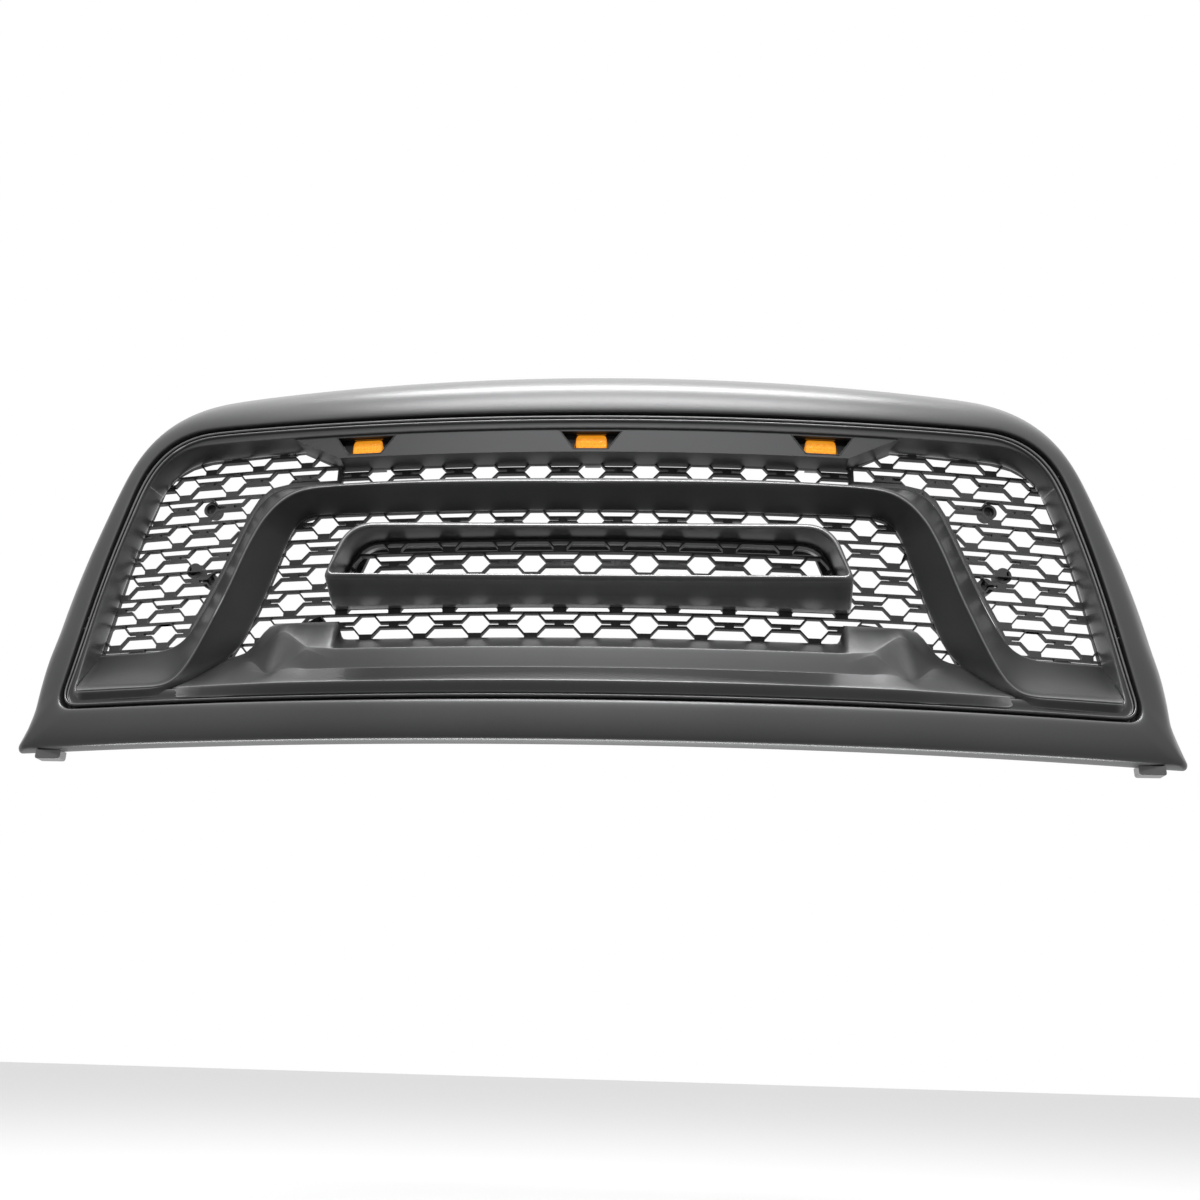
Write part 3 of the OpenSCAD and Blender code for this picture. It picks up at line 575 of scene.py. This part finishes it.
def side_ear(bm, m, z):
    hole = wall_x(z) - EAR_INSET
    outline = tab_outline(hole - EAR_LIP, wall_x(z) + 0.5, z - EAR_HALF, z + EAR_HALF, 4)
    eyelet(bm, [(m * u, v) for u, v in outline], (m * hole, z), EAR_HOLE,
           lambda u, v, side: on_flat(u, bow(wall_x(z)) + EAR_DEPTH + TAB_THICK * side, v))


def locating_tab(bm, m):
    left, right = m * FOOT_X - FOOT_HALF, m * FOOT_X + FOOT_HALF
    corners = [(right, FOOT_LOW, 3, 0), (right, FOOT_HIGH, 1, 0),
               (left, FOOT_HIGH, 1, 0), (left, FOOT_LOW, 3, 0)]
    loft(bm, [[on_flat(u, bow(FOOT_X) + d, v) for u, v, w in rounded(corners, [1, 1, 1, 1])]
              for d in FOOT_DEPTHS], cap=True)


def screw_boss(bm, x, z):
    """A tube for a screw with four fins round it."""
    pipe(bm, x, z, *BOSS)
    for side in (45, 135, 225, 315):
        u, v = math.cos(math.radians(side)), math.sin(math.radians(side))
        loft(bm, [[on_bow(x + u * r - v * t, d, z + v * r + u * t) for r, d in FIN]
                  for t in (-0.8, 0.8)], cap=True)


def shell_mounts():
    """Top tabs, side ears, locating tabs and the screw bosses behind the shell."""
    bm = bmesh.new()
    for x in TAB_X:
        top_tab(bm, x)
    for m in (-1, 1):
        for z in EAR_Z:
            side_ear(bm, m, z)
        locating_tab(bm, m)
    for x, z in SCREW_AT:
        screw_boss(bm, x, z)
    eased_edges(piece("shell_mounts", bm, GUNMETAL, ["outer_shell"]), 0.5, segments=2)


# ---- insert frame ----

# The shell's opening, as (x, z, trim) of its right half
OPENING = ((585, -160, 24), (574.8, -100, 30), (558, 0, 60), (513.5, 170, 75))
# The double bead round the insert, as distance in from its edge and depth
BEAD = [(0, 4.6), (0, -15.5), (0.2, -17.6), (1, -19.2), (2.4, -19.6), (3.3, -18.9), (3.7, -16),
        (4.2, -15.4), (4.6, -16.6), (5, -18.6), (6.2, -19.4), (7.4, -18.4), (8, -16.4)]
# Along the bottom the bead is narrower than this
LOW_BEAD = 2.6


def bead_ring(inset, depth):
    corners = []
    for x, z, trim in OPENING:
        low = z < -150
        dz = GAP + min(inset, LOW_BEAD) if low else (0 if z < 100 else -GAP - inset)
        corners.append((x - GAP - inset, z + dz, max(trim - inset * 0.8, 4), depth))
    return hoop(corners)


# The insert's rings after the bead, drawn as the shell's are: the lip, the sloping inner wall, its
# rear edge, and back along the outside to the flange behind the shell's opening
INSERT_PROFILE = [
    ((566.6, -142.6, 10, -18), (561.1, -95, 30, -16.5),
     (541.6, 35, 75, -16.5), (499.6, 153.4, 50, -16.5), 0.8),
    ((565.9, -141.9, 10, -17), (560.4, -95, 30, -15.6),
     (540.9, 35, 75, -15.6), (498.9, 152.6, 50, -15.6), 0.8),
    ((565.6, -141.6, 10, -15), (559.9, -95, 30, -14),
     (540.4, 35, 75, -14), (498.4, 152.1, 50, -14), 0.8),
    ((564, -141, 10, 17.3), (557.5, -95, 30, 17.3),
     (531.5, 45, 75, 17.3), (496.5, 151, 48, 17.3), 6),
    ((566, -143, 10, 17.5), (559.5, -96, 30, 17.5),
     (534, 45, 75, 17.5), (499, 153, 48, 17.5), 6),
    ((567.5, -144, 10, 15), (561, -97, 30, 15), (536, 42, 75, 15), (501, 155, 50, 15), 5),
    ((568, -145, 12, -9), (563.5, -98, 30, -9), (546, 33, 75, -9), (502, 156.5, 52, -9), 2),
    ((578, -154.4, 16, -10), (568, -100, 30, -10), (550, 8, 62, -10), (506, 162, 66, -10), 0),
    ((579.5, -155, 20, 7.6), (569.5, -100, 30, 7.6),
     (552.5, 0, 60, 7.6), (508, 164.5, 70, 7.6), 0),
    ((593, -168, 28, 7.6), (582.8, -100, 30, 7.6), (566, 0, 60, 7.6), (521.5, 178, 80, 7.6), 0),
    ((593, -168, 28, 5.6), (582.8, -100, 30, 5.6), (566, 0, 60, 5.6), (521.5, 178, 80, 5.6), 0),
    ((582.4, -157.4, 24, 5.6), (572.2, -100, 30, 5.6),
     (555.4, 0, 60, 5.6), (510.9, 167.4, 72, 5.6), 0),
]


def insert_trim():
    bm = bmesh.new()
    rings = [bead_ring(*row) for row in BEAD] + [hoop(row[:4], row[4]) for row in INSERT_PROFILE]
    loft(bm, rings, join=True)
    smoothed(piece("insert_trim", bm, TRIM_PAINT, ["insert_frame"], sharp=180))


# Half a lug's width, how far it runs from the screw to the insert, its hole, depth and thickness
LUG_HALF, LUG_REACH, LUG_HOLE, LUG_DEPTH, LUG_THICK = 7, 17, 2.4, 9.2, 2.8
# Screws further than this from the datum line are in the top or bottom row
ROW_Z = 150


def lug_span(at):
    """From the lug's round end past its screw to its root, nearer the middle of the grille."""
    root = at - LUG_REACH if at > 0 else at + LUG_REACH
    return min(at - LUG_HALF, root), max(at + LUG_HALF, root)


def insert_lugs():
    """Flat lugs from the insert's rear edge out to the shell's screws."""
    bm = bmesh.new()
    for x, z in SCREW_AT:
        across, upwards = (x - LUG_HALF, x + LUG_HALF), (z - LUG_HALF, z + LUG_HALF)
        if abs(z) > ROW_Z:
            upwards = lug_span(z)
        else:
            across = lug_span(x)
        eyelet(bm, tab_outline(*across, *upwards, 5), (x, z), LUG_HOLE,
               lambda u, v, side: on_bow(u, LUG_DEPTH + LUG_THICK * side, v))
    eased_edges(piece("insert_lugs", bm, TRIM_PAINT, ["insert_frame"]), 0.4, segments=2)


# ---- arch bezel with the wing scoops ----

CREST_DEPTH = -22
BASE_DEPTH = 17.7
# Half of the arch from the middle out to the wing's corner: the crest (x, z), the inner edge
# or front foot (x, z, depth), and the outer edge on the mesh (x, z)
ARCH_LINE = [
    ((0, 82.5), (0, 66, 17.7), (0, 96)),
    ((110, 83.5), (110, 66.4, 17.7), (110, 97)),
    ((211, 84.6), (217, 66.6, 17.7), (220, 99)),
    ((285, 84), (290, 67.6, 17.7), (300, 103)),
    ((316, 82), (312, 67.8, 17.7), (330, 106)),
    ((334, 76.5), (325, 65, 17.7), (352, 106)),
    ((349, 66), (335, 56, 17.7), (370, 101)),
    ((360, 53), (342, 44, 17.7), (383, 89)),
    ((368, 40), (346, 30, 17.7), (392, 74)),
    ((380, 12), (353, 6, 17.7), (405, 40)),
    ((394, -31), (363, -28, 17.7), (419, 3)),
    ((406, -62), (373, -57, 17.7), (431, -28)),
    ((416, -87), (382, -80, 17.7), (441, -50)),
    ((427, -111), (395, -97, 17.7), (451, -68)),
    ((437, -127.5), (413, -114, 11), (462, -79)),
    ((449, -137.5), (434, -134, -3), (475, -84.5)),
    ((464, -141), (456, -149, -15), (490, -86.5)),
    ((484, -141.3), (482, -151, -17), (506, -87)),
    ((510, -141.3), (510, -151.5, -17), (524, -87)),
    ((540, -141.3), (541, -151.5, -16.5), (544, -87)),
    ((566, -141), (566.5, -151, -16), (563.5, -87.5)),
]
# Across the arch from its crest, outwards: millimetres along, and the share of the fall to the
# edge; then the shares along and down the two faces that lead to the edges
CREST_LAND = [(7.4, 0.12), (6.4, 0.092), (2.4, 0.008), (1.2, 0)]
CREST = [(0, 0.02)]
CREST_TURN = [(0.5, 0.05), (1.4, 0.085)]
OUTER_FALL = [(1, 1), (0.96, 0.972), (0.7, 0.7), (0.42, 0.4)]
INNER_FALL = [(0.55, 0.56), (0.97, 0.975), (1, 1)]
# Where the flat back's two edges are, as shares of the way from the inner to the outer edge
BACK_EDGES = (0.1, 0.9)


def spline(points, steps):
    """Points of a smooth line through the given ones."""
    line = []
    for i in range(len(points) - 1):
        p0, p1, p2 = points[max(i - 1, 0)], points[i], points[i + 1]
        p3 = points[min(i + 2, len(points) - 1)]
        for k in range(steps):
            t = k / steps
            line.append([0.5 * (2 * b + (c - a) * t + (2 * a - 5 * b + 4 * c - d) * t * t
                                + (3 * b - a - 3 * c + d) * t ** 3) for a, b, c, d in zip(p0, p1, p2, p3)])
    return line + [list(points[-1])]


def arch_section(row, side):
    cx, cz, ix, iz, idepth, ox, oz = row
    outward, inward = math.dist((cx, cz), (ox, oz)), math.dist((cx, cz), (ix, iz))
    land = [(along / outward, fall) for along, fall in CREST_LAND]
    turn = [(along / inward, fall) for along, fall in CREST_TURN]
    section = []
    for share, fall in OUTER_FALL + land + CREST:
        x, z = mix((cx, cz), (ox, oz), share)
        section.append((x, CREST_DEPTH + (BASE_DEPTH - CREST_DEPTH) * fall, z))
    for share, fall in turn + INNER_FALL:
        x, z = mix((cx, cz), (ix, iz), share)
        section.append((x, CREST_DEPTH + (idepth - CREST_DEPTH) * fall, z))
    for share in BACK_EDGES:
        x, z = mix((ix, iz), (ox, oz), share)
        section.append((x, BASE_DEPTH + 0.1, z))
    return [on_bow(side * x, depth, z) for x, depth, z in section]


def arch_bezel():
    half = spline([crest + inner + outer for crest, inner, outer in ARCH_LINE], 2)
    left = [arch_section(row, -1) for row in reversed(half[1:])]
    bm = bmesh.new()
    loft(bm, left + [arch_section(row, 1) for row in half], cap=True)
    smoothed(piece("arch_bezel_body", bm, TRIM_PAINT, ["arch_bezel"], sharp=180))


# ---- lower bar ----

# x, then (depth, z) of the top edge, ledge, crease, face foot, lower face and crest
BAR_LINE = [
    (0, (17.7, -82), (-7, -100), (-8, -111), (-9, -123), (-15.5, -132), (-23, -141)),
    (140, (17.7, -82), (-7, -100), (-8, -111), (-9, -123), (-15.5, -132), (-23, -141)),
    (266, (17.7, -82), (-7, -100), (-8, -111), (-9, -123), (-15.5, -132), (-23, -141)),
    (268.5, (17.7, -81.5), (-7, -99.9), (-8, -110.8), (-9, -123), (-15.5, -132), (-23, -141)),
    (274.5, (17.7, -61.5), (-7, -99.7), (-8, -109.6), (-9, -123), (-15.5, -132), (-23, -141)),
    (277, (17.7, -61), (-7, -99), (-8, -109), (-9, -123), (-15.5, -132), (-23, -141)),
    (299, (17.7, -61), (-7, -97.3), (-7.6, -100), (-9, -123), (-15.5, -132), (-23, -141)),
    (302, (17.7, -61), (-6.6, -96.8), (-7.4, -99), (-9, -122), (-15.5, -131.5), (-23, -141)),
    (318, (17.7, -61), (-1, -84), (-7.0, -111), (-9.6, -121), (-15.5, -131), (-23, -141)),
    (333, (17.7, -61), (5, -71.5), (-8.2, -123), (-10.0, -125), (-15.2, -131.3), (-22.8, -141)),
    (341, (17.7, -61), (6.6, -79), (-9.5, -130), (-10.6, -131), (-14.8, -132.5), (-22.5, -141)),
    (354, (17.7, -61.5), (8.6, -91), (0, -118), (-3.4, -120.5), (-13.2, -132), (-22, -141)),
    (366, (17.7, -79), (9.2, -102.5), (7, -106), (-2, -119), (-12.5, -132), (-21.5, -141)),
    (378, (17.7, -96.5), (14.6, -101), (8.4, -107.5), (-2, -119.5), (-12.5, -132), (-21, -141)),
    (396, (17.7, -97), (14, -102), (8, -109), (-3, -121), (-13, -132), (-20.5, -141.2)),
    (452, (14, -117), (10, -121), (5, -126), (-4, -133), (-12, -137), (-20, -141.6)),
]
# How strongly each line along the bar is rounded, by its place in the section
BAR_FOLDS = {0: 0.5, 1: 0.5, 2: 0.5, 3: 0.8, 4: 0.3, 5: 0.3, 6: 0.9, 8: 0.7, 9: 0.6, 10: 0.6, 11: 0.4}
BAR_REAR = 24
# The furthest apart that two stations may be, so that the bar's chords stay close to the bow
BAR_SPACING = 40


def bar_section(row, side):
    x, top, ledge, crease, foot, lower, crest = row
    under_mesh = (BASE_DEPTH, min(ledge[1] - 10, -104))
    rear_top = (BAR_REAR, min(ledge[1] - 12, -106))
    section = [under_mesh, rear_top, (BAR_REAR, -142), (0, -153.8), (-17, -153.6), (-18.6, -152.4),
               crest, lower, foot, crease, ledge, top]
    return [on_bow(side * x, depth, z) for depth, z in section]


def bar_rows():
    """The bar's stations, with more put in where they are far apart."""
    rows = []
    for a, b in zip(BAR_LINE, BAR_LINE[1:]):
        count = max(1, math.ceil((b[0] - a[0]) / BAR_SPACING))
        for k in range(count):
            t = k / count
            line = tuple(mix(p, q, t) for p, q in zip(a[1:], b[1:]))
            rows.append((a[0] + (b[0] - a[0]) * t,) + line)
    return rows + [BAR_LINE[-1]]


def lower_bar():
    rows = bar_rows()
    left = [bar_section(row, -1) for row in reversed(rows[1:])]
    bm = bmesh.new()
    loft(bm, left + [bar_section(row, 1) for row in rows], cap=True)
    fold_lines(bm, BAR_FOLDS)
    folded(piece("lower_bar_body", bm, TRIM_PAINT, ["lower_bar"], sharp=180), 1.2)


# ---- centre frame ----

FRAME_SPLITS = [2, 10, 2, 10]
# Rings of the frame from its foot on the mesh, up the outside, over the rim and down the inside:
# (x, z, trim) of the lower and upper corners, the depth, and whether the ring follows the bow
FRAME_RINGS = [
    ((285, -49, 8), (262, 34, 30), 17.2, True),
    ((284.8, -48.6, 8), (261.9, 33.8, 30), 15.5, True),
    ((280.3, -35.4, 9), (258.7, 31.2, 30), -28, False),
    ((280, -35, 9), (258.5, 31, 30), -29.2, False),
    ((279.5, -34.5, 9), (258.1, 30.5, 30), -30.2, False),
    ((276.6, -31.6, 9), (255.7, 27.7, 28), -33.2, False),
    ((275.4, -30.4, 8), (254.6, 26.6, 26), -33.6, False),
    ((274.4, -29.4, 7), (253.5, 25.5, 25), -33.2, False),
    ((273.3, -28.3, 7), (252, 24.3, 24), -31, False),
    ((273, -28, 7), (251.6, 23.9, 24), -26, False),
    ((270.8, -26.6, 6), (249.4, 21.8, 22), 15.5, True),
    ((270.7, -26.5, 6), (249.2, 21.6, 22), 17.2, True),
]


def frame_ring(low, up, depth, bowed):
    place = on_bow if bowed else on_flat
    corners = mirrored([low + (depth,), up + (depth,)])
    return [place(x, d, z) for x, z, d in rounded(corners, FRAME_SPLITS, 8)]


def centre_frame():
    bm = bmesh.new()
    loft(bm, [frame_ring(*row) for row in FRAME_RINGS], join=True)
    body = piece("centre_frame_body", bm, TRIM_PAINT, ["centre_frame"], sharp=70)
    smoothed(body, 1)


# ---- marker lamps ----

LAMPS = (("left", -255), ("centre", 0), ("right", 255))
# The pocket in the panel, as (half width, z) at its top and its foot
POCKET = ((35.5, 150), (19.5, 127))
# The four edges of the pocket's lining, as (distance in from the pocket's edge, depth)
LINING = ((0.15, -13.3), (0.15, -8.6), (1.2, -8.6), (1.2, -13.3))
# The right half of a lens, its middle and half its size, and its rings from the rear to the face
# as (distance in from the outline, depth)
LENS_OUTLINE = [(14.2, 128, 2.5, 0), (17, 131.2, 3, 0), (17.4, 144, 3, 0), (15.4, 148.6, 2.5, 0)]
LENS_Z, LENS_HALF_WIDE, LENS_HALF_HIGH = 136.3, 19, 9
LENS_RINGS = ((0.4, 8), (0, 7.6), (0, -3.5), (0.5, -4.8), (1.6, -5.3))
# Prism blocks on the lens face: columns and rows, their spacing, the lowest row's z, the half
# width of a block at its foot and its top, and the depths of the foot and of the two tops
PRISM_COLUMNS, PRISM_ROWS, PRISM_WIDE, PRISM_HIGH, PRISM_Z = 9, 4, 3.7, 4, 130.3
PRISM_FOOT, PRISM_TOP = 1.75, 1.15
# The rows are longest near PRISM_MIDDLE, where blocks reach out to PRISM_REACH
PRISM_REACH, PRISM_MIDDLE, PRISM_NARROWING = 15.5, 1.3, 1.2
PRISM_FOOT_DEPTH, PRISM_TOPS = -5, (-5.55, -5.9)


def lining_ring(x, inset, depth):
    (top_u, top_v), (low_u, low_v) = POCKET
    corners = mirrored([(low_u - inset * 0.7, low_v + inset, 1, 0),
                        (top_u - inset * 1.9, top_v - inset, 1, 0)])
    return [square_to_bow(x, u, depth, v) for u, v, w in rounded(corners, [1, 1, 1, 1], 3)]


def lamp_pocket(side, x):
    """Black lining of the slanted pocket that the lamp sits in."""
    bm = bmesh.new()
    loft(bm, [lining_ring(x, inset, depth) for inset, depth in LINING], join=True)
    eased_edges(piece("lamp_pocket_" + side, bm, MESH_BLACK, ["lamp_housing_" + side]), 0.2)


def lens_ring(x, inset, depth):
    """The lens outline, drawn inwards, square to the bow at x."""
    wide, high = 1 - inset / LENS_HALF_WIDE, 1 - inset / LENS_HALF_HIGH
    outline = rounded(mirrored(LENS_OUTLINE), [1, 1, 1, 1, 1, 1, 1, 1], 4)
    return [square_to_bow(x, u * wide, depth, LENS_Z + (v - LENS_Z) * high) for u, v, w in outline]


def prism(bm, x, u, v, tip):
    """One block on the lens face, drawn in towards its top."""
    loft(bm, [[square_to_bow(x, u + p * w, d, v + q * w) for p, q in ((-1, -1), (1, -1), (1, 1), (-1, 1))]
              for w, d in ((PRISM_FOOT, PRISM_FOOT_DEPTH), (PRISM_TOP, tip))], cap=True)


def lamp_lens(side, x):
    """Amber lens with a stepped rim and a face of moulded prisms."""
    bm = bmesh.new()
    loft(bm, [lens_ring(x, inset, depth) for inset, depth in LENS_RINGS], cap=True)
    bmesh.ops.recalc_face_normals(bm, faces=bm.faces[:])
    for i in range(PRISM_COLUMNS):
        for j in range(PRISM_ROWS):
            u, v = (i - PRISM_COLUMNS // 2) * PRISM_WIDE, PRISM_Z + j * PRISM_HIGH
            if abs(u) <= PRISM_REACH - PRISM_NARROWING * abs(j - PRISM_MIDDLE):
                prism(bm, x, u, v, PRISM_TOPS[(i + j) % 2])
    lens = piece("lamp_lens_" + side + "_body", bm, AMBER_PAINTED_GLOW, ["lamp_lens_" + side])
    eased_edges(lens, 0.15, 30, 2)


# ---- fasteners ----

HEAD_STEPS = 24
# A pan head from its neck to its crown, as (share of the radius, share of the height)
HEAD_NECK, NECK_DEPTH = 0.55, -3
HEAD_PROFILE = ((0.55, 0), (0.96, 0), (1, 0.15), (1, 0.4), (0.86, 0.78), (0.6, 1))
# The recess, as shares of the radius all round it, then how it narrows and where its floor is
RECESS = [0.52 if k % 6 in (0, 1, 5) else 0.2 for k in range(HEAD_STEPS)]
RECESS_TAPER, RECESS_FLOOR = 0.8, 0.35


def pan_heads(node, head, height, base):
    """Screws with domed pan heads and a cross recess, on the axes of the CAD screws; base is the
    depth of the head's seat in from the rear of each screw."""
    angles = [2 * math.pi * k / HEAD_STEPS for k in range(HEAD_STEPS)]
    rows = [([HEAD_NECK] * HEAD_STEPS, NECK_DEPTH)]
    rows += [([share] * HEAD_STEPS, rise * height) for share, rise in HEAD_PROFILE]
    rows += [(RECESS, height), ([share * RECESS_TAPER for share in RECESS], RECESS_FLOOR * height)]
    bm = bmesh.new()
    for x, z, rear, turn in islands(node):
        across = Vector((math.cos(turn), math.sin(turn), 0))
        back = Vector((-math.sin(turn), math.cos(turn), 0))
        up = Vector((0, 0, 1))
        seat = Vector((x, 0, z))
        seat += back * (rear - seat.dot(back) - base * MM)
        loft(bm, [[seat + (across * math.cos(a) + up * math.sin(a)) * (share * head * MM) + back * (d * MM)
                   for share, a in zip(shares, angles)] for shares, d in rows], cap=True)
    piece(node + "_body", bm, STEEL, [node], sharp=32)


# ---- the pieces ----

def repaint(node, material):
    """A CAD node that is shown as it is, in a better finish."""
    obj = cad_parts[node]
    for slot in obj.material_slots:
        slot.material = material
    if not obj.material_slots:
        obj.data.materials.append(material)


outer_skin()
shell_mounts()
insert_trim()
insert_lugs()
arch_bezel()
lower_bar()
centre_frame()
softened_copy("lamp_panel", PANEL_PAINT, 0.8, segments=3)
for node in ("mesh_wing_left", "mesh_wing_right", "mesh_top_strip", "mesh_centre", "mesh_infill"):
    softened_copy(node, MESH_BLACK, 0.45)
for side, x in LAMPS:
    softened_copy("lamp_housing_" + side, GLOSS_BLACK, 0.25)
    softened_copy("lamp_cover_" + side, GLOSS_BLACK, 0.3)
    lamp_pocket(side, x)
    lamp_lens(side, x)
    repaint("lamp_board_" + side, BOARD_GREEN)
for node in ("shell_screws", "arch_screws", "bar_screws", "panel_screws"):
    pan_heads(node, 3.6, 2.4, 2.4)
pan_heads("frame_screws", 3, 2, 2)
pan_heads("lamp_screws", 1.9, 1.4, 1.4)
softened_copy("mesh_push_pins", MESH_BLACK, 0.4)
softened_copy("top_sleeves", STEEL, 0.25)
softened_copy("side_sleeves", STEEL, 0.25)


# ---- studio ----

# The floor lies under the camera, which looks up from below the grille's foot
FLOOR_Z = -0.95
# How bright the room is below, level with the grille, overhead and behind it
ROOM_LOW, ROOM_FRONT, ROOM_HIGH, ROOM_REAR = 0.13, 0.34, 1.1, 0.6


def floor():
    bm = bmesh.new()
    bmesh.ops.create_grid(bm, x_segments=1, y_segments=1, size=14)
    bmesh.ops.translate(bm, verts=bm.verts[:], vec=(0, 0, FLOOR_Z))
    mesh = bpy.data.meshes.new("floor")
    bm.to_mesh(mesh)
    bm.free()
    material = bpy.data.materials.new("pale_floor")
    material.use_nodes = True
    shader = material.node_tree.nodes["Principled BSDF"]
    shader.inputs["Base Color"].default_value = (0.82, 0.82, 0.82, 1)
    shader.inputs["Roughness"].default_value = 0.8
    mesh.materials.append(material)
    obj = bpy.data.objects.new("floor", mesh)
    bpy.context.scene.collection.objects.link(obj)
    # The object doesn't see the floor, so its undersides stay dark
    obj.visible_diffuse = False
    obj.visible_glossy = False


def softbox(name, place, target, size, power):
    light = bpy.data.lights.new(name, "AREA")
    light.shape = "RECTANGLE"
    light.size, light.size_y = size
    light.energy = power
    obj = bpy.data.objects.new(name, light)
    obj.location = place
    obj.rotation_euler = (Vector(target) - Vector(place)).to_track_quat("-Z", "Y").to_euler()
    bpy.context.scene.collection.objects.link(obj)


def backdrop():
    """A white room to the eye. As a light it is bright overhead and behind, and dim elsewhere."""
    world = bpy.data.worlds.new("white_room")
    world.use_nodes = True
    tree = world.node_tree
    background = tree.nodes["Background"]
    room = tree.nodes.new("ShaderNodeTexCoord").outputs["Generated"]
    axes = tree.nodes.new("ShaderNodeSeparateXYZ")
    tree.links.new(room, axes.inputs["Vector"])
    height = tree.nodes.new("ShaderNodeValToRGB")
    height.color_ramp.interpolation = "EASE"
    stops = height.color_ramp.elements
    stops[0].position, stops[0].color = 0.42, (ROOM_LOW, ROOM_LOW, ROOM_LOW, 1)
    stops[1].position, stops[1].color = 0.92, (ROOM_HIGH, ROOM_HIGH, ROOM_HIGH, 1)
    for place in (0.56, 0.76):
        stops.new(place).color = (ROOM_FRONT, ROOM_FRONT, ROOM_FRONT, 1)
    lifted = tree.nodes.new("ShaderNodeMapRange")
    lifted.inputs["From Min"].default_value = -1
    tree.links.new(axes.outputs["Z"], lifted.inputs["Value"])
    tree.links.new(lifted.outputs["Result"], height.inputs["Fac"])
    rear = tree.nodes.new("ShaderNodeMapRange")
    rear.interpolation_type = "SMOOTHSTEP"
    rear.inputs["From Min"].default_value = 0.1
    rear.inputs["From Max"].default_value = 0.9
    rear.inputs["To Max"].default_value = ROOM_REAR
    tree.links.new(axes.outputs["Y"], rear.inputs["Value"])
    total = tree.nodes.new("ShaderNodeMath")
    total.operation = "ADD"
    tree.links.new(height.outputs["Color"], total.inputs[0])
    tree.links.new(rear.outputs["Result"], total.inputs[1])
    seen = tree.nodes.new("ShaderNodeMix")
    path = tree.nodes.new("ShaderNodeLightPath")
    tree.links.new(path.outputs["Is Camera Ray"], seen.inputs["Factor"])
    tree.links.new(total.outputs[0], seen.inputs["A"])
    seen.inputs["B"].default_value = 1
    tree.links.new(seen.outputs["Result"], background.inputs["Strength"])
    background.inputs["Color"].default_value = (1, 1, 1, 1)
    bpy.context.scene.world = world
    bpy.context.scene.view_settings.view_transform = "Standard"


# The camera's distance from the datum, and how far it looks up, stands to one side and is rolled
DISTANCE, RISE, SWING, ROLL = 1.3599, 21.63, -3.66, 1.669
LENS_LENGTH, SENSOR_WIDTH = 37.81, 36
SHIFT_X, SHIFT_Y = 0.00994, -0.0333


def camera():
    """Looks up at the grille from in front and a little below, slightly from the right."""
    rise, swing, roll = math.radians(RISE), math.radians(SWING), math.radians(ROLL)
    ahead = Vector((math.sin(swing) * math.cos(rise), math.cos(swing) * math.cos(rise), math.sin(rise)))
    right = Vector((math.cos(swing), -math.sin(swing), 0))
    up = right.cross(ahead)
    across = right * math.cos(roll) + up * math.sin(roll)
    upright = up * math.cos(roll) - right * math.sin(roll)
    eye = on_flat(0, 0, 0) - ahead * DISTANCE
    data = bpy.data.cameras.new("camera")
    data.sensor_width = SENSOR_WIDTH
    data.lens = LENS_LENGTH
    data.shift_x = SHIFT_X
    data.shift_y = SHIFT_Y
    data.clip_start = 0.05
    obj = bpy.data.objects.new("camera", data)
    turn = Matrix((across, upright, -ahead)).transposed().to_4x4()
    obj.matrix_world = Matrix.Translation(eye) @ turn
    bpy.context.scene.collection.objects.link(obj)
    bpy.context.scene.camera = obj


floor()
backdrop()
softbox("overhead", (0, -0.35, 2.2), (0, 0, -0.2), (2.0, 0.6), 46)
softbox("front_fill", (0, -2.0, 1.7), (0, 0, -0.2), (2.4, 0.4), 40)
softbox("floor_bounce", (0, -0.02, -0.62), (0, -0.01, 0), (1.3, 0.03), 1.6)
camera()
